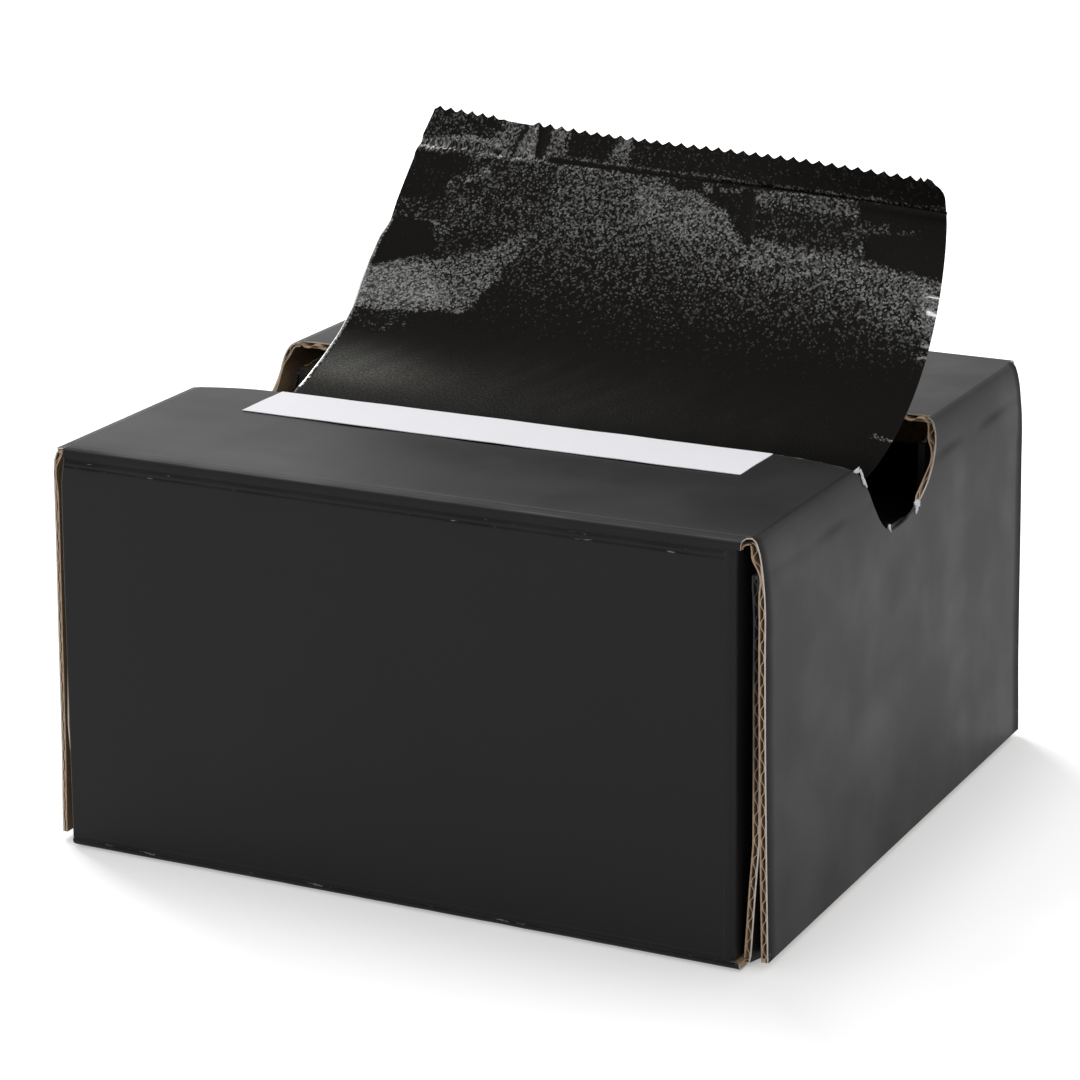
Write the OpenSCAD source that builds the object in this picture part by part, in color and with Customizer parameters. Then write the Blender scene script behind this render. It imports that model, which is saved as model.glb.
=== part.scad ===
// Pop-up dispenser box of interfolded foil sheets, with one sheet pulled up through its torn slot.
// The carton stands on its bottom panel, its front panel faces -Y, and the origin is at the middle
// of the base.

/* [Foil sheets] */
// Width of one foil sheet, across the carton
sheet_w = 127; // [110:1:150]
// Depth of the pack, with each sheet folded in half
fold_d = 140; // [125:1:170]
// Height of the pack of interfolded sheets
stack_h = 62; // [30:1:90]
// Height of the group of folds that one ridge of the pack's edge stands for
fold_pitch = 2; // [1.5:0.5:4]
// Depth of the hollow between two ridges of the pack's edge
fold_relief = 0.4; // [0.2:0.1:0.8]
// Thickness of the pulled sheet with its embossing
foil_t = 0.3; // [0.2:0.05:0.5]

/* [Carton] */
// Play of the pack between the left and right ears
side_play = 14; // [6:0.5:24]
// Play of the pack between the front and back panels
depth_play = 5.5; // [3:0.5:12]
// Clear height between the pack and the top panel
head_room = 18; // [14:0.5:40]
// Thickness of the corrugated board
board = 1.5; // [1.2:0.1:1.8]
// Distance from one wave crest of the corrugated medium to the next
flute_pitch = 4.2; // [3:0.1:6]
// Thickness of the paper of the liners and of the medium
paper_t = 0.3; // [0.15:0.01:0.35]
// Depth to which the flutes show at a cut edge
flute_depth = 2.5; // [1:0.5:5]

/* [Folds and flaps] */
// Outer radius of the long folds between front, top, back and bottom
fold_r = 2.2; // [1.9:0.1:3]
// Outer radius of the upright folds between the panels and their ears
ear_fold_r = 2; // [1.9:0.1:3]
// Distance of the front panel's score line below the top face
score_drop = 3.4; // [3:0.1:6]
// Depth of the score line
score_depth = 0.3; // [0.1:0.05:0.5]
// Length of the ears, from the face of the panel that carries them
ear_l = 54; // [40:1:65]
// How much lower the ears' upper edges lie at their free ends
ear_taper = 3; // [0:0.5:6]
// Gap between the ears' lower edges and the bottom panel
ear_foot_gap = 0.5; // [0.2:0.1:2]
// Gap between the top panel and the upper ends of the ears' folds
tuck_gap = 0.9; // [0.5:0.1:4]
// Gap between the top panel and the inner flaps' upper edges
inner_top_gap = 5.5; // [4:0.5:10]
// Distance of the side flaps' front and rear edges from the carton's faces
flap_set_back = 3.5; // [3:0.1:8]
// How far the top panel's side folds stand out beyond the ears
top_ease = 0.5; // [0:0.1:1]
// How far the outer flaps swing out beyond the top panel's side folds
flap_spread = 3.3; // [3:0.1:6]
// How much further the outer flaps stand out at their feet
flap_kick = 1.5; // [0:0.1:4]
// Height over which the outer flaps swing out
flap_swing_h = 20; // [12:1:30]
// Gap between the outer flaps' lower edges and the table
flap_foot = 1.2; // [0.5:0.1:4]
// Height above which the inner flaps lie against the outer ones
flap_meet_h = 24; // [10:1:40]
// Gap left for the glue between two layers of board
glue_gap = 0.1; // [0.05:0.01:0.2]

/* [Slot and notches] */
// Distance of the slot's front lip from the front face
lip_set_back = 56.5; // [45:0.5:60]
// Width of the slot, front to back, in its straight part
slot_w = 38.5; // [30:0.5:45]
// How far the lip curves forward towards its two ends
lip_bow = 4; // [0:0.5:6]
// Length of the curved stretch at each end of the lip
lip_bow_l = 18; // [8:1:30]
// Depth of the notches, below the top face
notch_depth = 16; // [8:0.5:24]
// Distance of the notches' deepest point behind the lip
notch_low = 13.5; // [8:0.5:24]
// Extra width of the inner flaps' notches, all round
notch_step = 5; // [1:0.5:8]

/* [Label strip] */
// Length of the paper strip
label_l = 109; // [60:1:120]
// Width of the paper strip
label_w = 16.5; // [8:0.5:24]
// Thickness of the paper strip
label_t = 0.2; // [0.1:0.05:0.3]

/* [Pulled sheet] */
// Length of the sheet above the lip
pull_l = 75; // [40:0.5:80]
// Gap between the pack and the ear that it has slid against
stack_gap = 0.6; // [0.3:0.1:3]
// How far the sheet slides sideways between the pack and the lip
sheet_slide = 2.5; // [0:0.1:3]
// Gap between the sheet and the lip's lower edge, and between the sheet and the pack
sheet_gap = 0.2; // [0.1:0.05:0.5]
// Angle by which the sheet leans to the right
skew = 3; // [0:0.1:4]
// Lean of the sheet above level, at the lip
lean_lip = 7; // [2:1:30]
// Lean of the sheet above level, at its top edge
lean_top = 76.5; // [50:0.5:90]
// Extra lean halfway up, which gathers the curl near the lip
lean_swell = 33; // [0:1:40]
// Angle by which the top edge is turned, left end backwards
twist_top = 10.5; // [0:0.5:15]
// Counter turn of the sheet halfway up
twist_swing = 13.2; // [0:0.2:20]
// How far the sheet's right-hand edge droops into the notch
edge_droop = 1.7; // [0:0.1:1.8]
// Height of the band above the crease
hem_h = 6.4; // [4:0.2:14]
// Angle by which the band above the crease bends forwards
hem_bend = 6; // [0:1:20]
// Radius of the rounded right-hand corner
corner_r = 3; // [1:0.5:6]
// Number of teeth along the pinked edge
teeth = 42; // [12:1:48]
// How much lower the pinked edge lies at its left end
top_fall = 2; // [0:0.1:4]
// Height of the teeth
tooth_h = 1; // [0.5:0.1:3]
// First tooth of the stretch where the teeth are folded away, from the left
folded_from = 7; // [0:1:30]
// Number of teeth that are folded away
folded_teeth = 2; // [0:1:6]

/* [Hidden] */
$fn = 48;
past = 1;
join = 2;
arc_steps = 12;
// First and last angle of the cells up the outer flap's swing, and how deep they go into the notch
swing_cells_start = 84;
swing_cells_end = 30;
steep_share = 0.9;
// Where the pinked edge starts to rise and where it is level again, as shares of the width from the
// middle
fall_start = -0.24;
fall_end = 0.35;
folded_share = 0.1;
printed = [0.15, 0.145, 0.15];
foil_black = [0.11, 0.105, 0.1];
foil_silver = [0.72, 0.72, 0.73];
paper_white = [0.89, 0.88, 0.89];

inner_w = sheet_w + side_play;
inner_d = fold_d + depth_play;
inner_h = stack_h + head_room;
panel_w = inner_w + 2 * board;
carton_d = inner_d + 2 * board;
carton_h = inner_h + 2 * board;
front_y = -carton_d / 2;
flaps_y = carton_d / 2 - flap_set_back;

fold_x = panel_w / 2 + top_ease;
flap_x = fold_x + flap_spread;
flap_foot_x = flap_x + flap_kick;
swing_low = carton_h - flap_swing_h;
inner_foot_x = panel_w / 2 + board + glue_gap;
ear_low = board + ear_foot_gap;
tuck_h = carton_h - max(fold_r, board + tuck_gap);
// Where the board's inner face starts to bend, inside of the side fold
bend_start_x = fold_x - board / 1.5;

lip_y = front_y + lip_set_back;
slot_rear_y = lip_y + slot_w;
notch_y = lip_y + notch_low;
// The notch's front edge meets the end of the bowed lip
notch_front = notch_low;
notch_rear = slot_rear_y - notch_y;

// Half widths of a flute's cell at its open and at its closed side, and the share of the board that
// one liner takes
half_pitch = flute_pitch / 2;
cell_narrow = paper_t;
cell_wide = half_pitch - cell_narrow - 2 * paper_t;
cell_low = paper_t / board;

stack_x = inner_w / 2 - stack_gap - sheet_w / 2;
stack_top = board + stack_h;

// Lengths, steps and ends of the pulled sheet's middle surface
start_y = -fold_d / 2;
start_z = stack_top + sheet_gap + foil_t / 2;
exit_y = lip_y - board / 2;
exit_z = carton_h - board - sheet_gap - foil_t / 2;
exit_x = stack_x + sheet_slide;
inside_steps = 10;
pull_steps = 20;
hem_step = 18;
rows = inside_steps + pull_steps;

// Lays a flat section, drawn as [x, z], along Y
module along_y(y0, y1)
{
    translate([0, y1, 0]) rotate([90, 0, 0]) linear_extrude(y1 - y0) children();
}

// Lays a flat section, drawn as [y, z], along X
module along_x(x0, x1)
{
    translate([x0, 0, 0]) rotate([90, 0, 90]) linear_extrude(x1 - x0) children();
}

module rounded_rect(w, h, r)
{
    square([w - 2 * r, h], center = true);
    square([w, h - 2 * r], center = true);
    for (x = [-1, 1], y = [-1, 1])
        translate([x * (w / 2 - r), y * (h / 2 - r)]) circle(r);
}

// A rounded rectangle of board, seen along the fold lines
module board_ring(w, h, r)
{
    difference()
    {
        rounded_rect(w, h, r);
        rounded_rect(w - 2 * board, h - 2 * board, r - board);
    }
}

// Points of the outer flap's outer and inner face: a quarter ellipse down from the side fold, at
// angle a, after which the flap leans out to its foot
function swing(a, x0, z0, reach, drop) = [x0 + reach * sin(a), z0 - drop * (1 - cos(a))];
function flap_outer(a) = swing(a, fold_x, carton_h, flap_spread, flap_swing_h);
function flap_inner(a) =
    swing(a, bend_start_x, carton_h - board, flap_x - board - bend_start_x, flap_swing_h - board);
// Angle by which the flap leans out below its swing, and its inner face at height z there
kick_tilt = atan2(flap_kick, swing_low - flap_foot);
function flap_back(z) = flap_x - board + (swing_low - z) * tan(kick_tilt);

module outer_flap_section()
{
    polygon([
        [panel_w / 2 - join, carton_h],
        for (i = [0:arc_steps]) flap_outer(90 * i / arc_steps),
        [flap_foot_x, flap_foot],
        [flap_foot_x - board, flap_foot],
        for (i = [arc_steps:-1:0]) flap_inner(90 * i / arc_steps),
        [panel_w / 2 - join, carton_h - board]
    ]);
}

// The inner flap leans out from its foot until it lies against the outer one, follows its swing and
// is squeezed between that and the ear at its top
inner_top_a = acos(1 - inner_top_gap / (flap_swing_h - board));
function inner_flap_outer(i) =
    flap_inner(90 - (90 - inner_top_a) * i / arc_steps) - [glue_gap, 0];
function inner_flap_inner(i) =
    let (p = inner_flap_outer(i)) [max(p[0] - board, panel_w / 2 + glue_gap), p[1]];

module inner_flap_section()
{
    meet_x = flap_back(flap_meet_h) - glue_gap;
    polygon([
        [panel_w / 2 - join, 0],
        for (a = [-90:15:0]) [inner_foot_x - fold_r + fold_r * cos(a), fold_r + fold_r * sin(a)],
        [meet_x, flap_meet_h],
        for (i = [0:arc_steps]) inner_flap_outer(i),
        for (i = [arc_steps:-1:0]) inner_flap_inner(i),
        [meet_x - board, flap_meet_h],
        for (a = [0:-15:-90])
            [inner_foot_x - fold_r + (fold_r - board) * cos(a), fold_r + (fold_r - board) * sin(a)],
        [panel_w / 2 - join, board]
    ]);
}

// One cell between the wave and a liner, in a board whose lower left corner is the origin and that
// runs up: odd cells open to one liner and even cells to the other
module flute_cell(number)
{
    wide_x = number % 2 == 0 ? cell_low : 1 - cell_low;
    polygon([
        [board * wide_x, -cell_wide],
        [board * wide_x, cell_wide],
        [board * (1 - wide_x), cell_narrow],
        [board * (1 - wide_x), -cell_narrow]
    ]);
}

// A row of cells up a board, from height 0 to height h
module flute_cells(h)
{
    cells = floor((h - 2 * cell_wide) / half_pitch);
    for (i = [0:cells])
        translate([0, cell_wide + i * half_pitch]) flute_cell(i);
}

// Angles of the cells up the outer flap's swing, half a flute apart, and the place of one cell
function swing_angles(a) =
    a < swing_cells_end
        ? []
        : let (turn_by = half_pitch / norm([flap_spread * cos(a), flap_swing_h * sin(a)]))
            concat([a], swing_angles(a - turn_by * 180 / PI));
function swing_middle(a) = (flap_outer(a) + flap_inner(a)) / 2;

module swing_cell(a, number)
{
    translate(swing_middle(a))
        rotate(atan2(flap_spread * cos(a), flap_swing_h * sin(a)))
            translate([-board / 2, 0]) flute_cell(number);
}

// Flutes that show at the front and rear cut edge of the right-hand side flaps
module flap_flutes()
{
    lean = atan2(flap_back(flap_meet_h) - glue_gap - inner_foot_x, flap_meet_h - fold_r);
    angles = swing_angles(swing_cells_start);
    for (y = [-flaps_y - past, flaps_y - flute_depth])
        along_y(y, y + flute_depth + past)
        {
            translate([flap_foot_x - board, flap_foot])
                rotate(kick_tilt) flute_cells(swing_low - flap_foot);
            for (i = [0:len(angles) - 1]) swing_cell(angles[i], i);
            translate([flap_back(flap_meet_h) - glue_gap - board, flap_meet_h])
                rotate(kick_tilt) flute_cells(swing_low - flap_meet_h);
            translate([inner_foot_x - board, fold_r])
                rotate(-lean) flute_cells((flap_meet_h - fold_r) / cos(lean));
        }
}

// Front and rear edge of a notch at height z
function notch_share(z) = sqrt(max(0, 1 - pow((carton_h - z) / notch_depth, 2)));
function notch_front_at(z) =
    notch_y - notch_front * notch_share(z) - lip_bow * pow(1 - (carton_h - z) / notch_depth, 4);
function notch_rear_at(z) = notch_y + notch_rear * notch_share(z);

// Flutes that show along the steep part of the notch in the right-hand outer flap
module notch_flutes()
{
    angles = swing_angles(swing_cells_start);
    for (i = [0:len(angles) - 1])
        let (z = swing_middle(angles[i])[1], low = z - cell_wide)
            if (carton_h - low < steep_share * notch_depth)
            {
                along_y(notch_rear_at(low) - paper_t, notch_rear_at(z) + flute_depth)
                    swing_cell(angles[i], i);
                along_y(notch_front_at(z) - flute_depth, notch_front_at(low) + paper_t)
                    swing_cell(angles[i], i);
            }
}

// Flutes that show at the slot's rear edge and at the straight part of its lip
module slot_flutes()
{
    for (edge = [
        [slot_rear_y - past, slot_rear_y + flute_depth, panel_w / 2 - fold_r],
        [lip_y - flute_depth, lip_y + past, fold_x - lip_bow_l]
    ])
        let (cells = floor((edge[2] - cell_wide) / half_pitch))
            along_y(edge[0], edge[1])
                for (i = [-cells:cells])
                    translate([i * half_pitch, carton_h - board]) rotate(90) flute_cell(i);
}

// Outline of a notch, seen from the side: a quarter ellipse down from the lip's end, flared at its
// top, and a longer one up to the slot's rear edge
module notch_outline(grow)
{
    depth = notch_depth + grow;
    front = notch_front + grow;
    rear = notch_rear + grow;
    polygon([
        [notch_y - front - lip_bow, carton_h + past],
        for (i = [0:arc_steps])
            let (a = 90 * i / arc_steps)
                [notch_y - front * cos(a) - lip_bow * pow(1 - sin(a), 4), carton_h - depth * sin(a)],
        for (i = [arc_steps - 1:-1:0])
            let (a = 90 * i / arc_steps)
                [notch_y + rear * cos(a), carton_h - depth * sin(a)],
        [notch_y + rear, carton_h + past]
    ]);
}

// The lip is straight in the middle and curves forward as a parabola towards both ends
function lip_at(x) =
    lip_y - lip_bow * pow(max(0, (abs(x) - (fold_x - lip_bow_l)) / lip_bow_l), 2);

module slot()
{
    translate([0, 0, carton_h - board - past / 2])
        linear_extrude(board + past)
            polygon([
                for (i = [-arc_steps:arc_steps])
                    let (x = fold_x - lip_bow_l + lip_bow_l * abs(i) / arc_steps)
                        [i < 0 ? -x : x, lip_at(x)],
                [fold_x, slot_rear_y],
                [-fold_x, slot_rear_y]
            ]);
}

// The front, bottom, back and top panels, folded as a tube, with rounded ear folds
module tube()
{
    intersection()
    {
        along_x(-panel_w / 2, panel_w / 2)
            translate([0, carton_h / 2]) board_ring(carton_d, carton_h, fold_r);
        union()
        {
            translate([0, 0, ear_low])
                linear_extrude(tuck_h - ear_low) rounded_rect(panel_w, carton_d, ear_fold_r);
            for (z = [[-past, ear_low], [tuck_h, carton_h + past]])
                translate([-panel_w / 2, -carton_d / 2, z[0]])
                    cube([panel_w, carton_d, z[1] - z[0]]);
        }
    }
}

// The ears of the front and back panels, folded in along both sides
module ears()
{
    half_d = carton_d / 2;
    intersection()
    {
        translate([0, 0, ear_low])
            linear_extrude(tuck_h - ear_low)
                difference()
                {
                    board_ring(panel_w, carton_d, ear_fold_r);
                    square([panel_w + past, carton_d - 2 * ear_l], center = true);
                }
        along_x(-panel_w / 2 - past, panel_w / 2 + past)
            polygon([
                [-half_d - past, 0],
                [-half_d - past, tuck_h],
                [-half_d + ear_fold_r, tuck_h],
                [-half_d + ear_l, tuck_h - ear_taper],
                [half_d - ear_l, tuck_h - ear_taper],
                [half_d - ear_fold_r, tuck_h],
                [half_d + past, tuck_h],
                [half_d + past, 0]
            ]);
    }
}

// The line pressed into the front panel below its fold
module score()
{
    along_x(-panel_w / 2 - past, panel_w / 2 + past)
        translate([front_y, carton_h - score_drop])
            polygon([[-score_depth, 2 * score_depth], [score_depth, 0], [-score_depth, -2 * score_depth]]);
}

module side_flaps()
{
    difference()
    {
        along_y(-flaps_y, flaps_y) outer_flap_section();
        along_x(panel_w / 2 - join, flap_foot_x + past) notch_outline(0);
        flap_flutes();
        notch_flutes();
    }
    difference()
    {
        along_y(-flaps_y, flaps_y) inner_flap_section();
        along_x(panel_w / 2 - join, flap_foot_x + past) notch_outline(notch_step);
        flap_flutes();
    }
}

module carton()
{
    color(printed)
    {
        difference()
        {
            union()
            {
                tube();
                ears();
            }
            slot();
            slot_flutes();
            score();
        }
        side_flaps();
        mirror([1, 0, 0]) side_flaps();
    }
}

// The pack's front and rear faces are rows of folds, its sides are flat
module foil_stack()
{
    ridges = floor(stack_h / fold_pitch);
    pitch = stack_h / ridges;
    edge = [
        for (i = [0:ridges - 1], p = [[0, fold_relief], [0.3, 0], [0.7, 0], [1, fold_relief]])
            [fold_d / 2 - p[1], board + pitch * (i + p[0])]
    ];
    color(foil_silver)
        translate([stack_x, 0, 0])
            along_x(-sheet_w / 2, sheet_w / 2)
                polygon([
                    for (p = edge) p,
                    for (i = [len(edge) - 1:-1:0]) [-edge[i][0], edge[i][1]]
                ]);
}

// Lean, turn and heading of the sheet at a share s of its length above the lip
function hem_s() = 1 - hem_h / pull_l;
function lean(s) =
    lean_lip + (lean_top - lean_lip) * s + lean_swell * s * (1 - s) + (s > hem_s() ? hem_bend : 0);
function turn(s) = twist_top * s * s - twist_swing * s * (1 - s);
function heading(s) = [sin(skew), cos(lean(s)) * cos(skew), sin(lean(s)) * cos(skew)];
function level(a) = [cos(a), -sin(a), 0];
// Droop of the right half, full at its edge
function droop(x, share) = [0, 0, -edge_droop * max(0, 2 * x / sheet_w) * share];

// Fall of the pinked edge towards the left, which fades out down the sheet
function fall(x, s) =
    let (t = min(1, max(0, (x / sheet_w - fall_start) / (fall_end - fall_start))))
        -heading(s) * top_fall * (1 - t * t * (3 - 2 * t)) * pow(s, 4);

// Shares of the length at the rows above the lip, with one row on the crease
function row_s(j) =
    j <= hem_step ? hem_s() * j / hem_step
                  : hem_s() + (1 - hem_s()) * (j - hem_step) / (pull_steps - hem_step);

// Middle line above the lip: each row steps on from the last along the heading between them
function step_on(p, s0, s1) = p + pull_l * (s1 - s0) * heading((s0 + s1) / 2);
function pull_line(j, p) =
    j == pull_steps ? [p] : concat([p], pull_line(j + 1, step_on(p, row_s(j), row_s(j + 1))));

// Middle line inside: up from the pack's front fold to the lip in a smooth S. The sheet slides
// sideways only near the lip, where it has risen clear of the ears.
function slide_share(t) = pow(t, 8);
function inside_line() = [
    for (i = [0:inside_steps - 1])
        let (t = i / inside_steps)
            [
                stack_x + (exit_x - stack_x) * slide_share(t),
                start_y + (exit_y - start_y) * t,
                start_z + (exit_z - start_z) * t * t * (3 - 2 * t)
            ]
];

// Direction across the sheet above the lip: turned about the upright and square to the heading
function across(s) =
    let (u = heading(s), v = level(turn(s)) - u * (u * level(turn(s)))) v / norm(v);

// How far the rounded corner cuts in the right-hand edge; the columns beside it close up
function corner_in(s) =
    let (h = max(0, corner_r - pull_l * (1 - s))) corner_r - sqrt(corner_r * corner_r - h * h);

// A tooth of the folded stretch keeps a small share of its height
function tooth(i) =
    tooth_h * (i >= folded_from && i < folded_from + folded_teeth ? folded_share : 1);

// The sheet is a grid of points on its two faces, with one column for each tooth
module pulled_sheet()
{
    line = concat(inside_line(), pull_line(0, [exit_x, exit_y, exit_z]));
    share = [for (j = [0:rows]) j < inside_steps ? 0 : row_s(j - inside_steps)];
    run = [
        for (j = [0:rows])
            j < inside_steps ? line[j + 1] - line[max(j - 1, 0)] : heading(share[j])
    ];
    side = [
        for (j = [0:rows])
            j < inside_steps ? level(skew * slide_share(j / inside_steps)) : across(share[j])
    ];
    normal = [for (j = [0:rows]) let (n = cross(side[j], run[j])) n / norm(n)];
    droop_share = [
        for (j = [0:rows]) j < inside_steps ? slide_share(j / inside_steps) : pow(1 - share[j], 2)
    ];
    across_at = [
        for (j = [0:rows])
            [
                for (i = [0:teeth])
                    let (x = sheet_w * (i / teeth - 0.5))
                        x - corner_in(share[j]) * max(0, 1 - (sheet_w / 2 - x) / (2 * corner_r))
            ]
    ];
    face = function(f)
        [
            for (j = [0:rows], i = [0:teeth])
                line[j] + side[j] * across_at[j][i] + droop(across_at[j][i], droop_share[j])
                    + fall(across_at[j][i], share[j]) + normal[j] * f * foil_t / 2
        ];
    up = run[rows] / norm(run[rows]);
    tips = function(f)
        [
            for (i = [0:teeth - 1])
                let (x = (across_at[rows][i] + across_at[rows][i + 1]) / 2)
                    line[rows] + side[rows] * x + fall(x, 1) + up * tooth(i)
                        + normal[rows] * f * foil_t / 2
        ];
    cols = teeth + 1;
    grid = (rows + 1) * cols;
    points = concat(face(1), face(-1), tips(1), tips(-1));
    at = function(f, j, i) f * grid + j * cols + i;
    tip = function(f, i) 2 * grid + f * teeth + i;
    // A quad a, b, c, d as two triangles
    quad = function(a, b, c, d) [[a, b, c], [a, c, d]];
    faces = [
        for (j = [0:rows - 1], i = [0:teeth - 1])
            each concat(
                quad(at(0, j, i), at(0, j, i + 1), at(0, j + 1, i + 1), at(0, j + 1, i)),
                quad(at(1, j, i), at(1, j + 1, i), at(1, j + 1, i + 1), at(1, j, i + 1))
            ),
        for (i = [0:teeth - 1])
            each concat(
                [[at(0, rows, i), at(0, rows, i + 1), tip(0, i)]],
                [[at(1, rows, i + 1), at(1, rows, i), tip(1, i)]],
                quad(at(0, rows, i), tip(0, i), tip(1, i), at(1, rows, i)),
                quad(tip(0, i), at(0, rows, i + 1), at(1, rows, i + 1), tip(1, i)),
                quad(at(0, 0, i + 1), at(0, 0, i), at(1, 0, i), at(1, 0, i + 1))
            ),
        for (j = [0:rows - 1])
            each concat(
                quad(at(0, j, 0), at(0, j + 1, 0), at(1, j + 1, 0), at(1, j, 0)),
                quad(at(0, j + 1, teeth), at(0, j, teeth), at(1, j, teeth), at(1, j + 1, teeth))
            )
    ];
    color(foil_black) polyhedron(points, faces);
}

module label_strip()
{
    color(paper_white)
        translate([-label_l / 2, lip_y - label_w, carton_h]) cube([label_l, label_w, label_t]);
}

carton();
foil_stack();
pulled_sheet();
label_strip();
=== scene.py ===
"""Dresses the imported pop-up foil sheet box: carton, pack of foil, pulled sheet and label strip.

Every shape is worked out with numpy as a surface of two parameters, in millimetres, and put into a
mesh in metres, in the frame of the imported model.
"""

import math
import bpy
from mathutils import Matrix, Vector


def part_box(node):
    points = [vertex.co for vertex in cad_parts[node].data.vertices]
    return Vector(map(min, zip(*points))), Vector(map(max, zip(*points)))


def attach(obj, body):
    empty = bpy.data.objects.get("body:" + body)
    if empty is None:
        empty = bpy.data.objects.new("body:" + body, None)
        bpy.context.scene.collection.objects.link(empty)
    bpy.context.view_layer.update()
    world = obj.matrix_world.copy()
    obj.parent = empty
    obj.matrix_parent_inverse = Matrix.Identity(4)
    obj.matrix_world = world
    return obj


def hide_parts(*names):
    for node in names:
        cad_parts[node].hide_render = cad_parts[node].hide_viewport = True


bl_info = {
    "name": "Pop-up foil sheet box",
    "version": (1, 0, 0),
    "blender": (4, 5, 0),
    "location": "3D View > Sidebar > Foil Box",
    "description": "Builds a corrugated dispenser box with one black foil sheet pulled up",
    "category": "Object",
}

import bpy
import numpy as np
from mathutils import Matrix

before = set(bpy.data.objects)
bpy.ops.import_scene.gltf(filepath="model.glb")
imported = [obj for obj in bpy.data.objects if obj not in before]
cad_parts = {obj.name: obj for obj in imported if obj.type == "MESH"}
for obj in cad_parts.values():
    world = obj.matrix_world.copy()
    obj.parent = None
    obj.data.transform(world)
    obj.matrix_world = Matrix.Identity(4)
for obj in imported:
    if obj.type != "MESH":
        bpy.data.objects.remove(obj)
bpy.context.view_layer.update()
MM = 0.001
OUT, DEEP, TOP = (float(value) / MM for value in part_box("carton")[1])
PACK_LO, PACK_HI = (np.array(corner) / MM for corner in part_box("foil_stack"))
LABEL_LO, LABEL_HI = (np.array(corner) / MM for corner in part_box("label_strip"))


# ---------------------------------------------------------------- settings


def length(name, text, millimetres):
    """A size in metres, with its default given in millimetres."""
    return bpy.props.FloatProperty(
        name=name, description=text, default=millimetres * MM, unit="LENGTH", subtype="DISTANCE",
        precision=5)


def colour(name, text, value):
    """A linear colour."""
    return bpy.props.FloatVectorProperty(
        name=name, description=text, default=value, subtype="COLOR", size=3, min=0.0, max=1.0)


class FoilBoxBoard(bpy.types.PropertyGroup):
    """Sizes of the corrugated board and its folds."""

    board: length("Board", "Thickness of the corrugated board", 1.45)
    liner: length("Liner", "Thickness of the outer and the inner liner", 0.3)
    medium: length("Medium", "Thickness of the waved paper between the liners", 0.19)
    pitch: length("Flute pitch", "Distance from one wave crest to the next", 4.2)
    panel_half: length("Half width", "Half the width of the top panel", 72.0)
    panel_pinch: length("Pinch", "How much narrower the front panel is at its top", 0.6)
    panel_swell: length("Swell", "How much wider the front panel is at its foot", 0.5)
    side_ease: length("Side ease", "How far the side folds stand out beyond the panel", 0.5)
    left_fold: length("Left ear fold", "Outer radius of the left ears' folds", 0.45)
    left_swell: length("Left swell", "How much wider the front panel is on its left", 0.8)
    right_fold: length("Right ear fold", "Outer radius of the right ears' folds", 2.0)
    right_in: length("Right ear in", "How much further in the right ears lie", 1.0)
    ear_low: length("Ear foot", "Height of the ears' lower edges", 1.8)
    ear_high: length("Ear top", "Height of the ears' upper edges at their folds", 81.4)
    ear_taper: length("Ear taper", "How much lower these edges lie at their free ends", 3.8)
    ear_length: length("Ear length", "Length of the ears behind the panel that carries them", 54.0)
    flap_end: length("Flap end", "Distance of the side flaps' front edges from the middle", 70.75)
    flap_foot: length("Flap foot", "Height of the outer flaps' lower edges", 1.2)
    right_reach: length("Right swing", "How far the right flap swings out below its fold", 3.0)
    right_drop: length("Right swing height", "Height over which the right flap swings out", 20.0)
    left_reach: length("Left swing", "How far the left flap swings out below its fold", 3.6)
    left_drop: length("Left swing height", "Height over which the left flap swings out", 5.5)
    right_bulge: length("Right bulge", "How far the right inner flap's foot bows out", 1.7)
    left_lead: length("Left lead", "How far forward the left flap runs at its fold", 2.8)
    left_thick: length("Left thickness", "Thickness of the left flap's crushed board", 1.05)
    right_foot: length("Right foot", "How much less the right flap stands out at its foot", 0.3)
    meet_height: length("Meeting height", "Height where the inner flaps meet the outer ones", 24.0)
    inner_top: length("Inner top", "Height of the inner flaps' upper edges", 76.0)
    inner_back: length("Inner set back", "How far back the inner flaps' upper corners lie", 0.9)
    lip: length("Lip", "Place of the slot's front lip, front to back", -17.75)
    rear: length("Slot rear", "Place of the slot's rear edge, front to back", 20.75)
    lip_bow: length("Lip bow", "How far the lip curves forward at its ends", 4.0)
    notch_low: length("Notch bottom", "Place of the notches' lowest point, front to back", -4.25)
    notch_depth: length("Notch depth", "Depth of the notches below the top", 16.0)
    notch_step: length("Notch step", "Extra width of the inner flaps' notches", 5.0)


class FoilBoxSheet(bpy.types.PropertyGroup):
    """Sizes of the pulled foil sheet."""

    width: length("Width", "Width of the sheet", 127.0)
    pull: length("Pull", "Length of the sheet above the lip", 75.0)
    foil: length("Foil", "Thickness of the foil with its embossing", 0.14)
    hem: length("Hem", "Height of the band above the crease", 6.4)
    fall: length("Fall", "How much lower the pinked edge lies at its left end", 2.0)
    tooth: length("Tooth", "Height of the teeth", 0.95)
    teeth: bpy.props.IntProperty(
        name="Teeth", description="Number of teeth along the pinked edge", default=42, min=1)


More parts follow.
